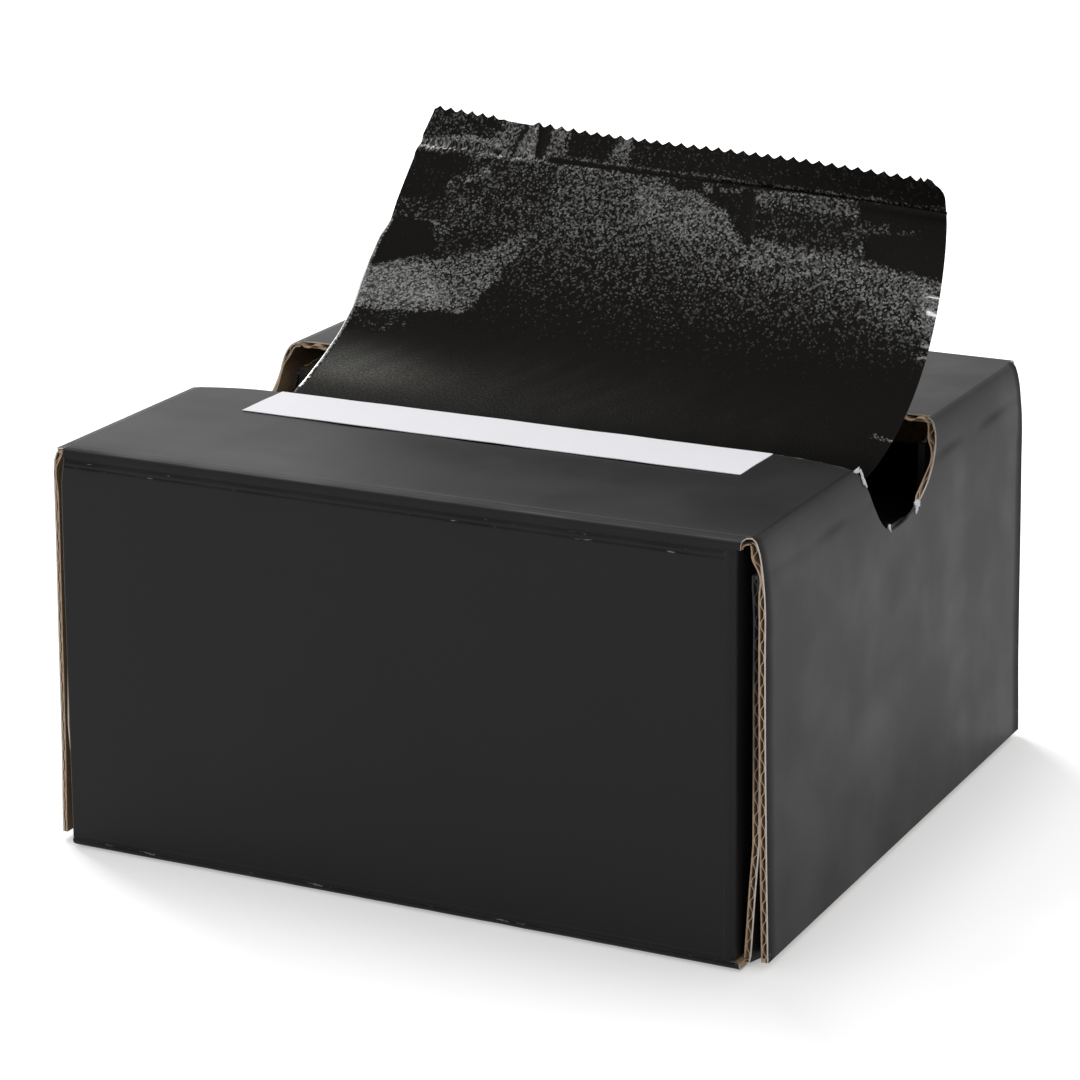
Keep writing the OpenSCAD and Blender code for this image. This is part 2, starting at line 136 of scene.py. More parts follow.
class FoilBoxColours(bpy.types.PropertyGroup):
    """Colours of the finishes, as linear values."""

    print_black: colour("Print", "Black print on the outer liner", (0.0066, 0.0060, 0.0064))
    print_worn: colour("Worn print", "Liner that shows at cracked folds", (0.20, 0.19, 0.175))
    kraft: colour("Kraft", "Brown kraft paper inside", (0.33, 0.225, 0.135))
    kraft_edge: colour("Kraft edge", "Cut edges of the papers", (0.47, 0.34, 0.235))
    liner_edge: colour("Liner edge", "Cut edge of the outer liner", (0.60, 0.54, 0.48))
    label: colour("Label", "White label paper", (0.755, 0.745, 0.775))
    foil_black: colour("Black foil", "Lacquered side of the foil", (0.0095, 0.0090, 0.0080))
    # Painted highlight: the colour of the embossing's glinting facets
    foil_glint: colour("Glint", "Polished tops of the embossing", (0.43, 0.43, 0.42))
    # Painted smooth reflection of the foil near the lip
    foil_gloss: colour("Gloss", "Smooth shine of the foil near the lip", (0.045, 0.045, 0.043))
    foil_silver: colour("Silver foil", "Bare side of the foil", (0.72, 0.72, 0.73))
    floor: colour("Floor", "Floor and backdrop", (0.86, 0.86, 0.86))


class FoilBoxStage(bpy.types.PropertyGroup):
    """Strengths of the lights."""

    world: bpy.props.FloatProperty(
        name="World", description="Strength of the world's light", default=0.62, min=0.0)
    key: bpy.props.FloatProperty(
        name="Key", description="Power of the lamp that throws the shadow, in watts", default=12.4,
        min=0.0, unit="POWER")
    front: bpy.props.FloatProperty(
        name="Front", description="Power of the lamp in front, in watts", default=5.0, min=0.0,
        unit="POWER")


def millimetres(group):
    """The sizes of a property group, in millimetres, as a plain object."""
    values = {}
    for key in group.__annotations__:
        value = getattr(group, key)
        values[key] = value / MM if isinstance(value, float) else value
    return type("Sizes", (), values)


# ---------------------------------------------------------------- surfaces


def wall(front, back, keep=None):
    """Closed wall between two grids of points, of shape (rows, columns, 3).

    Cells of the grid that keep marks as False are left open. Every edge of a kept cell whose
    neighbour is missing gets a rim. Returns points, quads, each quad's part (0 on the front grid,
    1 on the back grid and 2 on the rim) and each point's place in the flattened grid.
    """
    n, m = front.shape[:2]
    keep = np.ones((n - 1, m - 1), bool) if keep is None else keep
    at = np.arange(n * m).reshape(n, m)
    corners = np.stack([at[:-1, :-1], at[:-1, 1:], at[1:, 1:], at[1:, :-1]], -1)
    padded = np.pad(keep, 1)
    open_side = [~padded[:-2, 1:-1], ~padded[1:-1, 2:], ~padded[2:, 1:-1], ~padded[1:-1, :-2]]
    faces = corners[keep]
    rims = []
    for k in range(4):
        edge = corners[keep & open_side[k]][:, [k, (k + 1) % 4]]
        rims.append(np.stack([edge[:, 1], edge[:, 0], edge[:, 0] + n * m, edge[:, 1] + n * m], -1))
    rim = np.concatenate(rims)
    points = np.concatenate([front.reshape(-1, 3), back.reshape(-1, 3)])
    quads = np.concatenate([faces, faces[:, ::-1] + n * m, rim])
    part = np.repeat([0, 1, 2], [len(faces), len(faces), len(rim)])
    a, b, c, d = (points[quads[:, k]] for k in range(4))
    volume = (a * (np.cross(b, c) + np.cross(c, d))).sum()
    if volume < 0:
        quads = quads[:, ::-1]
    used, index = np.unique(quads, return_inverse=True)
    return points[used], index.reshape(quads.shape), part, used % (n * m)


def unit(v):
    """The same vectors, each of length 1."""
    return v / np.linalg.norm(v, axis=-1, keepdims=True)


def read_at(s, reach, values):
    """Rows of values, known at lengths reach, read at lengths s."""
    return np.stack([np.interp(s, reach, column) for column in values.T], -1)


def walk(corners, step=0.05):
    """Even steps along a line through many points: places and right-hand normals."""
    corners = np.asarray(corners, float)
    reach = np.concatenate([[0], np.cumsum(np.linalg.norm(np.diff(corners, axis=0), axis=1))])
    s = np.linspace(0, reach[-1], int(reach[-1] / step) + 2)
    place = read_at(s, reach, corners)
    run = unit(np.gradient(place, s, axis=0))
    return s, place, np.stack([run[:, 1], -run[:, 0]], -1)


def along(path, s):
    """Places and unit normals of a walked line at lengths s."""
    reach, place, normal = path
    return read_at(s, reach, place), unit(read_at(s, reach, normal))


def carried(path, s, columns, axis):
    """Points and normals of a walked line at rows s, carried along an axis to each column."""
    grids = (np.broadcast_to(v[:, None], (*columns.shape, 2)) for v in along(path, s[:, 0]))
    return [np.insert(grid, axis, fill, -1) for grid, fill in zip(grids, (columns, 0.0))]


def arc(centre, radius, start, end, steps=24):
    """Points of a circular arc from angle start to angle end, in degrees."""
    a = np.radians(np.linspace(start, end, steps))
    return np.stack([centre[0] + radius * np.cos(a), centre[1] + radius * np.sin(a)], -1)


def spread(limits, step, dense=(), dense_step=0.3, reach=3.0):
    """Sorted numbers between two limits, step apart, with closer ones around the dense places."""
    rows = [np.arange(limits[0], limits[1], step), [limits[1]]]
    for place in dense:
        rows.append(np.arange(place - reach, place + reach, dense_step))
    rows = np.unique(np.round(np.concatenate(rows), 4))
    rows = rows[(rows >= limits[0]) & (rows <= limits[1])]
    return rows[np.concatenate([[True], np.diff(rows) > 0.02])]


def bell(x, centre, width):
    """A smooth bump of height 1 around a centre."""
    return np.exp(-(((x - centre) / width) ** 2))


def ramp(x, low, high):
    """0 below low, 1 above high and a smooth S between them."""
    t = np.clip((x - low) / (high - low), 0, 1)
    return t * t * (3 - 2 * t)


def swells(a, b, seed, count=5, longest=90.0, shortest=25.0):
    """Sum of a few slanting waves with seeded lengths, angles and phases, within -1 to 1."""
    rng = np.random.default_rng(seed)
    total = np.zeros(np.broadcast(a, b).shape)
    for _ in range(count):
        wave = rng.uniform(shortest, longest)
        angle = rng.uniform(0, math.pi)
        phase = rng.uniform(0, 2 * math.pi)
        total = total + np.sin(
            2 * math.pi * (a * math.cos(angle) + b * math.sin(angle)) / wave + phase)
    return total / count


# ---------------------------------------------------------------- meshes


class Parts:
    """Walls gathered for one object, with a material for each and one value at each point: cracked
    and rubbed print on the carton, painted shade on the inner flaps and the painted sheen of the
    foil.
    """

    def __init__(self):
        self.points, self.quads, self.slots, self.wear, self.uv, self.count = [], [], [], [], [], 0

    def add(self, front, back, slots, keep=None, wear=None, uv=None):
        """Adds the closed wall between two grids; slots are those of front, back and rim."""
        points, quads, part, at = wall(front, back, keep)
        self.points.append(points)
        self.quads.append(quads + self.count)
        self.slots.append(np.asarray(slots)[part])
        size = front.shape[0] * front.shape[1]
        self.wear.append(np.zeros(len(points)) if wear is None else wear.reshape(size)[at])
        self.uv.append(np.zeros((len(points), 2)) if uv is None else uv.reshape(size, 2)[at])
        self.count += len(points)


def link(name, data):
    """A new object in the scene."""
    item = bpy.data.objects.new(name, data)
    bpy.context.scene.collection.objects.link(item)
    return item


def new_object(name, parts, materials, replaced, sharp=40.0):
    """Puts gathered walls into a mesh object that rides on the root body."""
    points = np.concatenate(parts.points) * MM
    quads = np.concatenate(parts.quads)
    mesh = bpy.data.meshes.new(name)
    mesh.vertices.add(len(points))
    mesh.loops.add(quads.size)
    mesh.polygons.add(len(quads))
    for material in materials:
        mesh.materials.append(material)
    for data, key, values in (
            (mesh.loops, "vertex_index", quads.ravel()),
            (mesh.polygons, "loop_start", np.arange(0, quads.size, 4)),
            (mesh.polygons, "loop_total", np.full(len(quads), 4)),
            (mesh.polygons, "material_index", np.concatenate(parts.slots))):
        data.foreach_set(key, values.astype(np.int32))
    mesh.vertices.foreach_set("co", points.astype(np.float32).ravel())
    mesh.update(calc_edges=True)
    # Cracked and rubbed print, painted shade and the foil's painted sheen share this one attribute.
    wear_and_light_layer = mesh.attributes.new("wear", "FLOAT", "POINT")
    wear_and_light_layer.data.foreach_set("value", np.concatenate(parts.wear).astype(np.float32))
    layer = mesh.uv_layers.new(name="Sheet")
    layer.data.foreach_set("uv", np.concatenate(parts.uv)[quads.ravel()].astype(np.float32).ravel())
    mesh.polygons.foreach_set("use_smooth", np.ones(len(quads), bool))
    mesh.set_sharp_from_angle(angle=math.radians(sharp))
    mesh.validate()
    piece = link(name, mesh)
    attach(piece, "root")
    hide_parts(*replaced)
    return piece


# ---------------------------------------------------------------- materials

WHITE = (1.0, 1.0, 1.0)
CRUSH_AND_SHADE_DARK = (0.05, 0.048, 0.048)
PACK_EDGE = (0.42, 0.42, 0.42)


def times(factor, tint):
    """A colour made darker or lighter."""
    return tuple(factor * value for value in tint)


class Nodes:
    """Short calls that add nodes to one new material or world."""

    def __init__(self, name, kind="materials", shader="Principled BSDF"):
        self.owner = getattr(bpy.data, kind).new(name)
        self.owner.use_nodes = True
        self.tree = self.owner.node_tree
        self.shader = self.tree.nodes[shader]

    def new(self, kind, inputs=None, **settings):
        """Outputs of a new node, with settings on it and values or links on its inputs."""
        node = self.tree.nodes.new(kind)
        for key, value in settings.items():
            setattr(node, key, value)
        for key, value in (inputs or {}).items():
            self.put(node.inputs[key], value)
        return node.outputs

    def put(self, socket, value):
        """Links a socket to another node's output, or sets its number, vector or colour."""
        if isinstance(value, bpy.types.NodeSocket):
            self.tree.links.new(value, socket)
        else:
            socket.default_value = (*value, 1.0) if socket.type == "RGBA" else value

    def finish(self, **inputs):
        """Sets the shader's own inputs; underscores stand for spaces."""
        for key, value in inputs.items():
            self.put(self.shader.inputs[key.replace("_", " ")], value)
        return self.owner

    def place(self):
        """Object coordinates."""
        return self.new("ShaderNodeTexCoord")["Object"]

    def wear(self):
        """The value kept at the points of the mesh: cracked and rubbed print, the inner flaps'
        painted shade and the foil's painted sheen.
        """
        return self.new("ShaderNodeAttribute", attribute_name="wear")["Fac"]

    def seen(self):
        """1 for rays of the camera and in reflections or clear things, and 0 for other rays."""
        ray = self.new("ShaderNodeLightPath")
        either = self.math("MAXIMUM", ray["Is Glossy Ray"], ray["Is Transmission Ray"])
        return self.math("MAXIMUM", ray["Is Camera Ray"], either)

    def scaled(self, vector, scale):
        """Stretches a pattern."""
        return self.new("ShaderNodeMapping", {"Vector": vector, "Scale": scale})["Vector"]

    def noise(self, vector, size, detail=2.0, rough=0.5):
        """Cloudy pattern with patches of this size, in millimetres."""
        inputs = {"Vector": vector, "Scale": 1 / (size * MM), "Detail": detail, "Roughness": rough}
        return self.new("ShaderNodeTexNoise", inputs)["Fac"]

    def steps(self, value, low, high, out_low=0.0, out_high=1.0):
        """A smooth step from out_low to out_high between two values."""
        return self.new("ShaderNodeMapRange", {
            "Value": value, "From Min": low, "From Max": high, "To Min": out_low,
            "To Max": out_high}, interpolation_type="SMOOTHSTEP")["Result"]

    def math(self, kind, a, b):
        """One sum."""
        return self.new("ShaderNodeMath", {0: a, 1: b}, operation=kind)["Value"]

    def mix(self, factor, a, b):
        """A blend of two colours, by the node's sockets for colours."""
        return self.new("ShaderNodeMix", {0: factor, 6: a, 7: b}, data_type="RGBA")[2]

    def bump(self, height, depth, strength=1.0, below=None):
        """Relief of this depth, in millimetres."""
        inputs = {"Height": height, "Distance": depth * MM, "Strength": strength}
        if below is not None:
            inputs["Normal"] = below
        return self.new("ShaderNodeBump", inputs)["Normal"]


def printed_film(c):
    """Satin black print: fine grain, faint mottling, and pale flecks where folds have cracked."""
    n = Nodes("printed_film")
    place, wear = n.place(), n.wear()
    mottle = n.noise(place, 22.0, 3.0)
    streak = n.noise(n.scaled(place, (0.25, 1.0, 1.0)), 0.9, 4.0, 0.65)
    # Negative values, the inner flaps' painted shade, hold the flecks back.
    flecks = n.steps(n.math("ADD", streak, n.math("MULTIPLY", wear, 0.30)), 0.80, 0.92)
    black = n.mix(mottle, times(0.75, c.print_black), times(1.3, c.print_black))
    relief = n.bump(n.noise(place, 0.35), 0.012, 0.5, n.bump(n.noise(place, 6.0), 0.06, 0.4))
    dull = n.math("MULTIPLY", n.math("MAXIMUM", wear, 0.0), 0.5)
    return n.finish(
        Base_Color=n.mix(flecks, black, c.print_worn), Specular_IOR_Level=0.17, Normal=relief,
        Roughness=n.math("ADD", n.steps(mottle, 0.3, 0.7, 0.40, 0.50), dull))


def kraft_paper(name, tint, dark):
    """Brown paper with long fibres and darker specks, dull grey where it is crushed and where shade
    is painted on it.
    """
    n = Nodes(name)
    place = n.place()
    fibres = n.noise(n.scaled(place, (1.0, 0.3, 1.0)), 0.6, 4.0, 0.7)
    tone = n.mix(n.steps(fibres, 0.35, 0.7), times(dark, tint), tint)
    tone = n.mix(n.steps(n.noise(place, 7.0), 0.55, 0.8, 0.0, 0.35), tone, times(0.7, tint))
    tone = n.mix(n.steps(n.wear(), -0.2, -0.9), tone, CRUSH_AND_SHADE_DARK)
    return n.finish(
        Base_Color=tone, Roughness=0.88, Specular_IOR_Level=0.2, Normal=n.bump(fibres, 0.05, 0.6))


def label_paper(c):
    """Smooth white paper with a faint tooth."""
    n = Nodes("label_paper")
    place = n.place()
    tone = n.mix(n.noise(place, 14.0), times(0.96, c.label), c.label)
    return n.finish(
        Base_Color=tone, Roughness=0.7, Specular_IOR_Level=0.3,
        Normal=n.bump(n.noise(place, 0.4, 3.0), 0.015, 0.5))


def black_foil(c):
    """Black lacquered embossed foil, whose many small facets each get a painted glint by chance.

    Every cell of a fine Voronoi pattern has its own number from 0 to 1. It gets the painted glint
    colour where that number lies above 1 minus the sheen's share, so that a fading sheen leaves
    fewer, sparser dots.
    """
    n = Nodes("black_foil")
    flat = n.new("ShaderNodeUVMap", uv_map="Sheet")["UV"]
    cells = n.new("ShaderNodeTexVoronoi", {
        "Vector": flat, "Scale": 1 / (0.38 * MM), "Randomness": 1.0}, voronoi_dimensions="2D")
    chance = n.new("ShaderNodeSeparateColor", {"Color": cells["Color"]})
    grain = n.noise(flat, 0.5, 2.0, 0.6)
    sheen = n.wear()
    level = n.math("POWER", n.math("MAXIMUM", sheen, 0.0), 0.7)
    gate = n.math("SUBTRACT", 1.0, n.math("MULTIPLY", level, 0.9))
    reach = n.math("ADD", 0.42, n.math("MULTIPLY", level, 0.75))
    lit = n.steps(n.math("SUBTRACT", chance[0], gate), -0.05, reach)
    for dimmed in (n.steps(chance[1], 0.0, 1.0, 0.65, 1.0),
                   n.steps(cells["Distance"], 0.25, 0.8, 1.0, 0.5),
                   n.steps(sheen, 0.0, 1.8, 0.45, 0.75)):
        lit = n.math("MULTIPLY", lit, dimmed)
    # Below a sheen of 0 a painted smooth reflection, above it painted glints, and from 2.1 to 2.6 a
    # turn to bare silver.
    tone = n.mix(n.steps(sheen, 0.0, -0.5), c.foil_black, c.foil_gloss)
    tone = n.mix(n.steps(sheen, 2.1, 2.6), n.mix(lit, tone, c.foil_glint), c.foil_silver)
    return n.finish(
        Base_Color=tone, Metallic=0.85, Roughness=n.steps(grain, 0.3, 0.7, 0.50, 0.34),
        Specular_IOR_Level=0.2, Specular_Tint=times(0.05, WHITE), Normal=n.bump(grain, 0.06, 0.8))


def silver_foil(name, tint):
    """Bare embossed foil with a soft, slightly crumpled shine."""
    n = Nodes(name)
    place = n.place()
    grain = n.noise(place, 0.9)
    crumple = n.bump(n.noise(place, 6.0, 3.0), 0.5, 0.5)
    return n.finish(
        Base_Color=n.mix(n.steps(grain, 0.35, 0.7), times(0.7, tint), tint), Metallic=1.0,
        Roughness=0.38, Normal=n.bump(grain, 0.08, 0.7, crumple))


# ---------------------------------------------------------------- carton

PRINT, KRAFT, INSIDE, EDGE, LINER_EDGE, TORN = range(6)
OUTER_LINER = (PRINT, KRAFT, LINER_EDGE)
INNER_LINER = (KRAFT, INSIDE, EDGE)
MEDIUM = (KRAFT, KRAFT, EDGE)
FILLING = (EDGE, EDGE, EDGE)
FLAT_CREST = 1.8  # how flat the flutes' crests are
GAP = 0.05  # between two papers that touch
SHORT_OF_EDGE = np.array([0.8, 0.03])  # where a filling starts and ends before a cut edge
SCORE = 8.6  # how far below their folds the side flaps are scored
GROOVE = 3.4  # how far below the top the front panel's groove lies


def carton_materials(c):
    """Materials in the order of the carton's slots, made once."""
    papers = (("kraft_paper", c.kraft, 0.72), ("kraft_inside", c.kraft, 0.72),
              ("kraft_edge", c.kraft_edge, 0.75), ("liner_edge", c.liner_edge, 0.85),
              ("torn_paper", c.label, 0.8))
    if "printed_film" not in bpy.data.materials:
        printed_film(c)
        for paper in papers:
            kraft_paper(*paper)
    return [bpy.data.materials[name] for name in ("printed_film", *(paper[0] for paper in papers))]


def add_layer(parts, surface, near, far, slots, keep=None, wear=None):
    """One layer of a panel, from depth near to depth far behind its face along the normals."""
    face, normal = surface
    grids = (face - normal * np.asarray(depth)[..., None] for depth in (near, far))
    parts.add(*grids, slots, keep, wear)


def add_board(parts, surface, b, keep=None, wear=None, thick=None, rim=None, crushed=None):
    """Outer and inner liner of one panel, whose surface is its printed face and normals.

    The inner face lies the board's thickness, or thick for each point, behind the printed one. rim
    is another slot for the cut edges.
    """
    # crushed darkens the inner liner: crushed board, and painted shade on the inner flaps.
    deep = b.board if thick is None else thick
    layers = (0, b.liner, OUTER_LINER, wear), (deep - b.liner, deep, INNER_LINER, crushed)
    for near, far, slots, state in layers:
        slots = slots if rim is None else (*slots[:2], rim)
        add_layer(parts, surface, near, far, slots, keep, state)


def add_flutes(parts, surface, run, b, keep=None, thick=None, crushed=None):
    """The waved medium between the liners.

    Its depth behind the face is half the thickness plus a flattened sine of 2 pi run / pitch.
    """
    deep = b.board if thick is None else thick
    half = b.medium / 2
    wave = np.tanh(FLAT_CREST * np.sin(2 * math.pi * run / b.pitch)) / math.tanh(FLAT_CREST)
    middle = deep / 2 + (deep / 2 - b.liner - half) * wave
    # crushed darkens the medium: crushed board, and painted shade on the inner flaps.
    add_layer(parts, surface, middle - half, middle + half, MEDIUM, keep, crushed)


def add_filling(parts, surface, b, thick=None, crushed=None):
    """Crushed board that closes a cut made along the flutes."""
    deep = b.board if thick is None else thick
    cover = 0.9 * b.liner
    # crushed darkens the filling: crushed board, and painted shade on the inner flaps.
    add_layer(parts, surface, cover, deep - cover, FILLING, None, crushed)


def tube_path(b):
    """Front, bottom, back and top panels seen along their folds, from the lip to the slot's rear.

    Straight panels joined by arcs. Each long fold has a band, pressed in by the scoring wheel,
    between the bend and a double groove.
    """
    d, h = DEEP, TOP
    front_top = ((0.24, 1.75), (0.42, 2.0), (0.12, 2.3), (0.02, 2.6), (0, 2.9), (0.01, 3.15),
                 (0.16, GROOVE), (0.01, 3.65), (0, 4.0))
    front_low = ((0, 3.2), (0.12, 2.9), (0, 2.6), (0.02, 2.2), (0.3, 1.95), (0.16, 1.7))
    bend = 2.2
    return walk([
        (b.lip, h), (-d + 4.2, h), (-d + 3.9, h - 0.08), (-d + 3.6, h),
        *arc((-d + 1.5, h - 1.2), 1.2, 90, 180),
        *((-d + inward, h - drop) for inward, drop in front_top),
        *((-d + inward, z) for inward, z in front_low),
        *arc((-d + 1.5, 1.4), 1.4, 180, 270), *arc((d - bend, bend), bend, 270, 360),
        *arc((d - bend, h - bend), bend, 0, 90), (b.rear, h)])


def length_at(path, point):
    """Length at which a walked line passes nearest to a point."""
    return float(path[0][np.argmin(np.linalg.norm(path[1] - np.asarray(point), axis=1))])


def bow_at(x, b):
    """How far forward the lip lies at x: 0 in the middle, then a parabola over the last 18 mm."""
    start, run = 54.5, 18
    return b.lip_bow * np.clip((np.abs(x) - start) / run, 0, None) ** 2


def make_carton_panels(b, c):
    """The folded tube with its slot: front, bottom, back and top panels."""
    path = tube_path(b)
    end = path[0][-1]
    ear_spans = [
        (length_at(path, (-DEEP, b.ear_high)), length_at(path, (-DEEP, b.ear_low))),
        (length_at(path, (DEEP, b.ear_low)), length_at(path, (DEEP, b.ear_high)))]
    folds = [length_at(path, (y, z)) for y in (-DEEP, DEEP) for z in (0, TOP)]

    def half_at(s):
        """Half width: a little less at the front panel's top and more at its foot."""
        return b.panel_half + np.interp(
            s, [folds[1] - 3.1, folds[1] - 2.7, folds[0], folds[2]],
            [0, -b.panel_pinch, b.panel_swell, 0])

    def place(s, x):
        """Printed face: the path carried along X, with the bowed lip and shallow swells."""
        face, normal = carried(path, s, x, 0)
        face[..., 1] -= np.clip(1 - s / 20, 0, 1) * bow_at(x, b)
        flat = ramp(65.0 - np.abs(x), 0, 25.0)
        for fold in folds:
            flat = flat * ramp(np.abs(s - fold), 3.0, 16.0)
        near = np.maximum(bell(s, folds[1], 4.5), bell(s, folds[0], 4.5)) * ramp(np.abs(x), 60, 40)
        depth = 0.16 * flat * (1.1 + swells(x, s, 11))
        depth = depth + 0.05 * near * (1 + swells(x, s, 12, 4, 14, 6))
        return face - normal * depth[..., None], normal

    spans = [at + shift for span in ear_spans for at in span for shift in (-0.03, 0.03)]
    s = spread((0, end), 3.0, [*folds, 0], 0.22, 4.6)
    clear = np.min(np.abs(s[:, None] - np.array(spans)), axis=1) > 0.1
    s = np.unique(np.concatenate([s[clear], spans]))
    s = s[:, None]
    z = along(path, s[:, 0])[0][:, 1:]
    wider = b.left_swell * (s < folds[0]) * (s > folds[1]) * np.interp(z, *LEFT_SWELL)
    folded = np.any([(s > low) & (s < high) for low, high in ear_spans], axis=0)
    t = np.linspace(-1, 1, 63)
    fold = folded * np.where(t < 0, b.left_fold, b.right_fold + b.right_in)
    x = (half_at(s) + (t < 0) * wider - fold) * t
    creased = [height * bell(s, at, width) for height, at, width in (
        (0.35, folds[1], 4.6), (0.35, folds[0], 4.0), (0.75, folds[1] - 0.9, 0.35),
        (0.95, length_at(path, (-DEEP, TOP - 2.45)), 0.4),
        (1.0, length_at(path, (-DEEP, TOP - GROOVE)), 0.35),
        (1.15, length_at(path, (-DEEP, 1.4)), 0.35))]
    wear = np.maximum.reduce(creased) * (0.65 + 0.35 * swells(x, s, 5, 4, 40, 8))
    lip = bell(s, 0, 0.3) * (0.9 + 0.5 * swells(x, s, 6, 5, 30, 5)) * ramp(x, 50, 56)
    wear = np.maximum(wear, np.maximum(1.2 * lip, 0.6 * bell(s, end, 0.4)))
    parts = Parts()
    add_board(parts, place(s, x), b, wear=wear)
    run = np.broadcast_to(np.linspace(-b.panel_half, b.panel_half, 420), (5, 420))
    seen_run = 16.0
    for low, high in ((0.0, seen_run), (end - seen_run, end)):
        add_flutes(parts, place(np.linspace(low, high, 5)[:, None], run), run, b)
    for low, high in ((ear_spans[0][1], ear_spans[1][0]), (ear_spans[1][1], end)):
        rows = spread((low, high), 4.0, folds, 0.3, 4.0)[:, None]
        for side in (-1, 1):
            add_filling(parts, place(rows, side * (half_at(rows) - SHORT_OF_EDGE)), b)
    return new_object("carton_panels", parts, carton_materials(c), ["carton"])


def notch_half(z, front, rear, depth, bow):
    """Half widths of a notch at height z: quarter ellipses, the front one flared at its top."""
    down = np.clip((TOP - z) / depth, 0, 1)
    across = np.sqrt(1 - down ** 2)
    return front * across + bow * (1 - down) ** 4, rear * across


def flap_grid(path, b, grow, s, count, lead=0.0):
    """Columns of a side flap: from its front edge to the notch and from there to its rear edge.

    Above the notch's bottom the middle cell of each row is left out. grow is how much wider and
    deeper the notch is than the outer flap's, and only the inner flap has one. lead is how much
    further forward the front edge lies at the side fold.
    """
    z = along(path, s[:, 0])[0][:, 1:]
    depth, narrowest = b.notch_depth + grow, 0.3
    front, rear = (np.maximum(half, narrowest) for half in notch_half(
        z, b.notch_low - b.lip + grow, b.rear - b.notch_low + grow, depth, b.lip_bow))
    t = np.linspace(0, 1, count) ** 0.9
    set_back = b.inner_back * ramp(z, 12, 50) if grow else 0
    start = set_back - b.flap_end - lead * ramp(z, 82.2, 82.95)
    y_front = start + (b.notch_low - front - start) * t
    y_rear = b.notch_low + rear + (b.flap_end - b.notch_low - rear) * (1 - t[::-1])
    keep = np.ones((len(s) - 1, 2 * count - 1), bool)
    above = z[:, 0] > TOP - depth + 1e-3
    keep[above[1:] & above[:-1], count - 1] = False
    return np.concatenate([y_front, y_rear], 1), keep


def notch_rows(path, b, grow, low, high):
    """Rows for a flap: closer where the notch's edge turns."""
    depth = b.notch_depth + grow
    heights = TOP - depth * np.sin(np.radians(np.linspace(0, 90, 40)))
    marks = [length_at(path, (np.interp(z, path[1][:, 1], path[1][:, 0]), z)) for z in heights]
    s = np.concatenate([np.arange(low, high, 1.5), marks, [high]])
    s = np.unique(np.round(s[(s >= low) & (s <= high)], 3))
    return s[np.concatenate([[True], np.diff(s) > 0.05])][:, None]


def flap_thickness(path, s, b):
    """Board squeezed at the score below the side fold and swollen between fold and score."""
    e = path[0][-1] - s
    return b.board * (1 - 0.42 * bell(e, SCORE, 2.4)) + 0.5 * bell(e, 4.6, 1.8)


# Heights up the front panel, and how much of the left swell it has there
LEFT_SWELL = ((0.0, 60.0, 76.0, 80.3), (0.3, 1.0, 1.0, 0.3))

# Torn scraps of liner round the right-hand notch: centre, half width and half height
TUFTS = (
    ((73.0, -20.6, 82.65), (0.1, 1.0, 0.02), (0.25, 0, -0.3)),
    ((73.95, -19.7, 81.0), (0, 0.38, 0), (0.4, 0.25, -1.35)),
    ((75.35, 6.9, 68.9), (0, 0.9, 0.5), (0.05, 0.5, -0.9)),
    ((75.3, -8.2, 68.3), (0, 0.45, -0.2), (0.05, 0.1, -0.6)),
)


def add_tuft(parts, centre, across, down):
    """A torn scrap: a thin plate whose outline is a square pushed in and out by two sine waves."""
    u, v = np.meshgrid(np.linspace(-1, 1, 12), np.linspace(-1, 1, 12))
    turn = np.arctan2(v, u)
    ragged = 1 + 0.28 * np.sin(3 * turn + centre[1]) + 0.18 * np.sin(8 * turn + centre[2])
    face = centre + (u * ragged)[..., None] * across + (v * ragged)[..., None] * down
    add_layer(parts, (face, unit(np.cross(across, down))), -0.12, 0.12, (TORN,) * 3)


def flap_paths(side, b):
    """Printed faces of one side's outer and inner flap, seen along their folds, from foot to top.

    The outer one leans in from its foot to its swing, a quarter ellipse up to the side fold. The
    inner one leans out from its foot and then follows the outer one, the board's thickness inside.
    """
    reach, drop = (b.right_reach, b.right_drop) if side > 0 else (b.left_reach, b.left_drop)
    fold_x = b.panel_half + b.side_ease
    a = np.radians(np.linspace(90, 0, 40))
    outer = walk([
        (OUT - (b.right_foot if side > 0 else 0), b.flap_foot),
        *np.stack([fold_x + reach * np.sin(a), TOP - drop * (1 - np.cos(a))], -1),
        (b.panel_half, TOP)])
    foot = b.board + GAP
    behind = outer[1] - outer[2] * foot
    behind = behind[(behind[:, 1] > b.meet_height) & (behind[:, 1] < b.inner_top)][::8]
    return outer, walk([(b.panel_half, 0), *arc((b.panel_half + GAP, foot), foot, -90, 0), *behind])


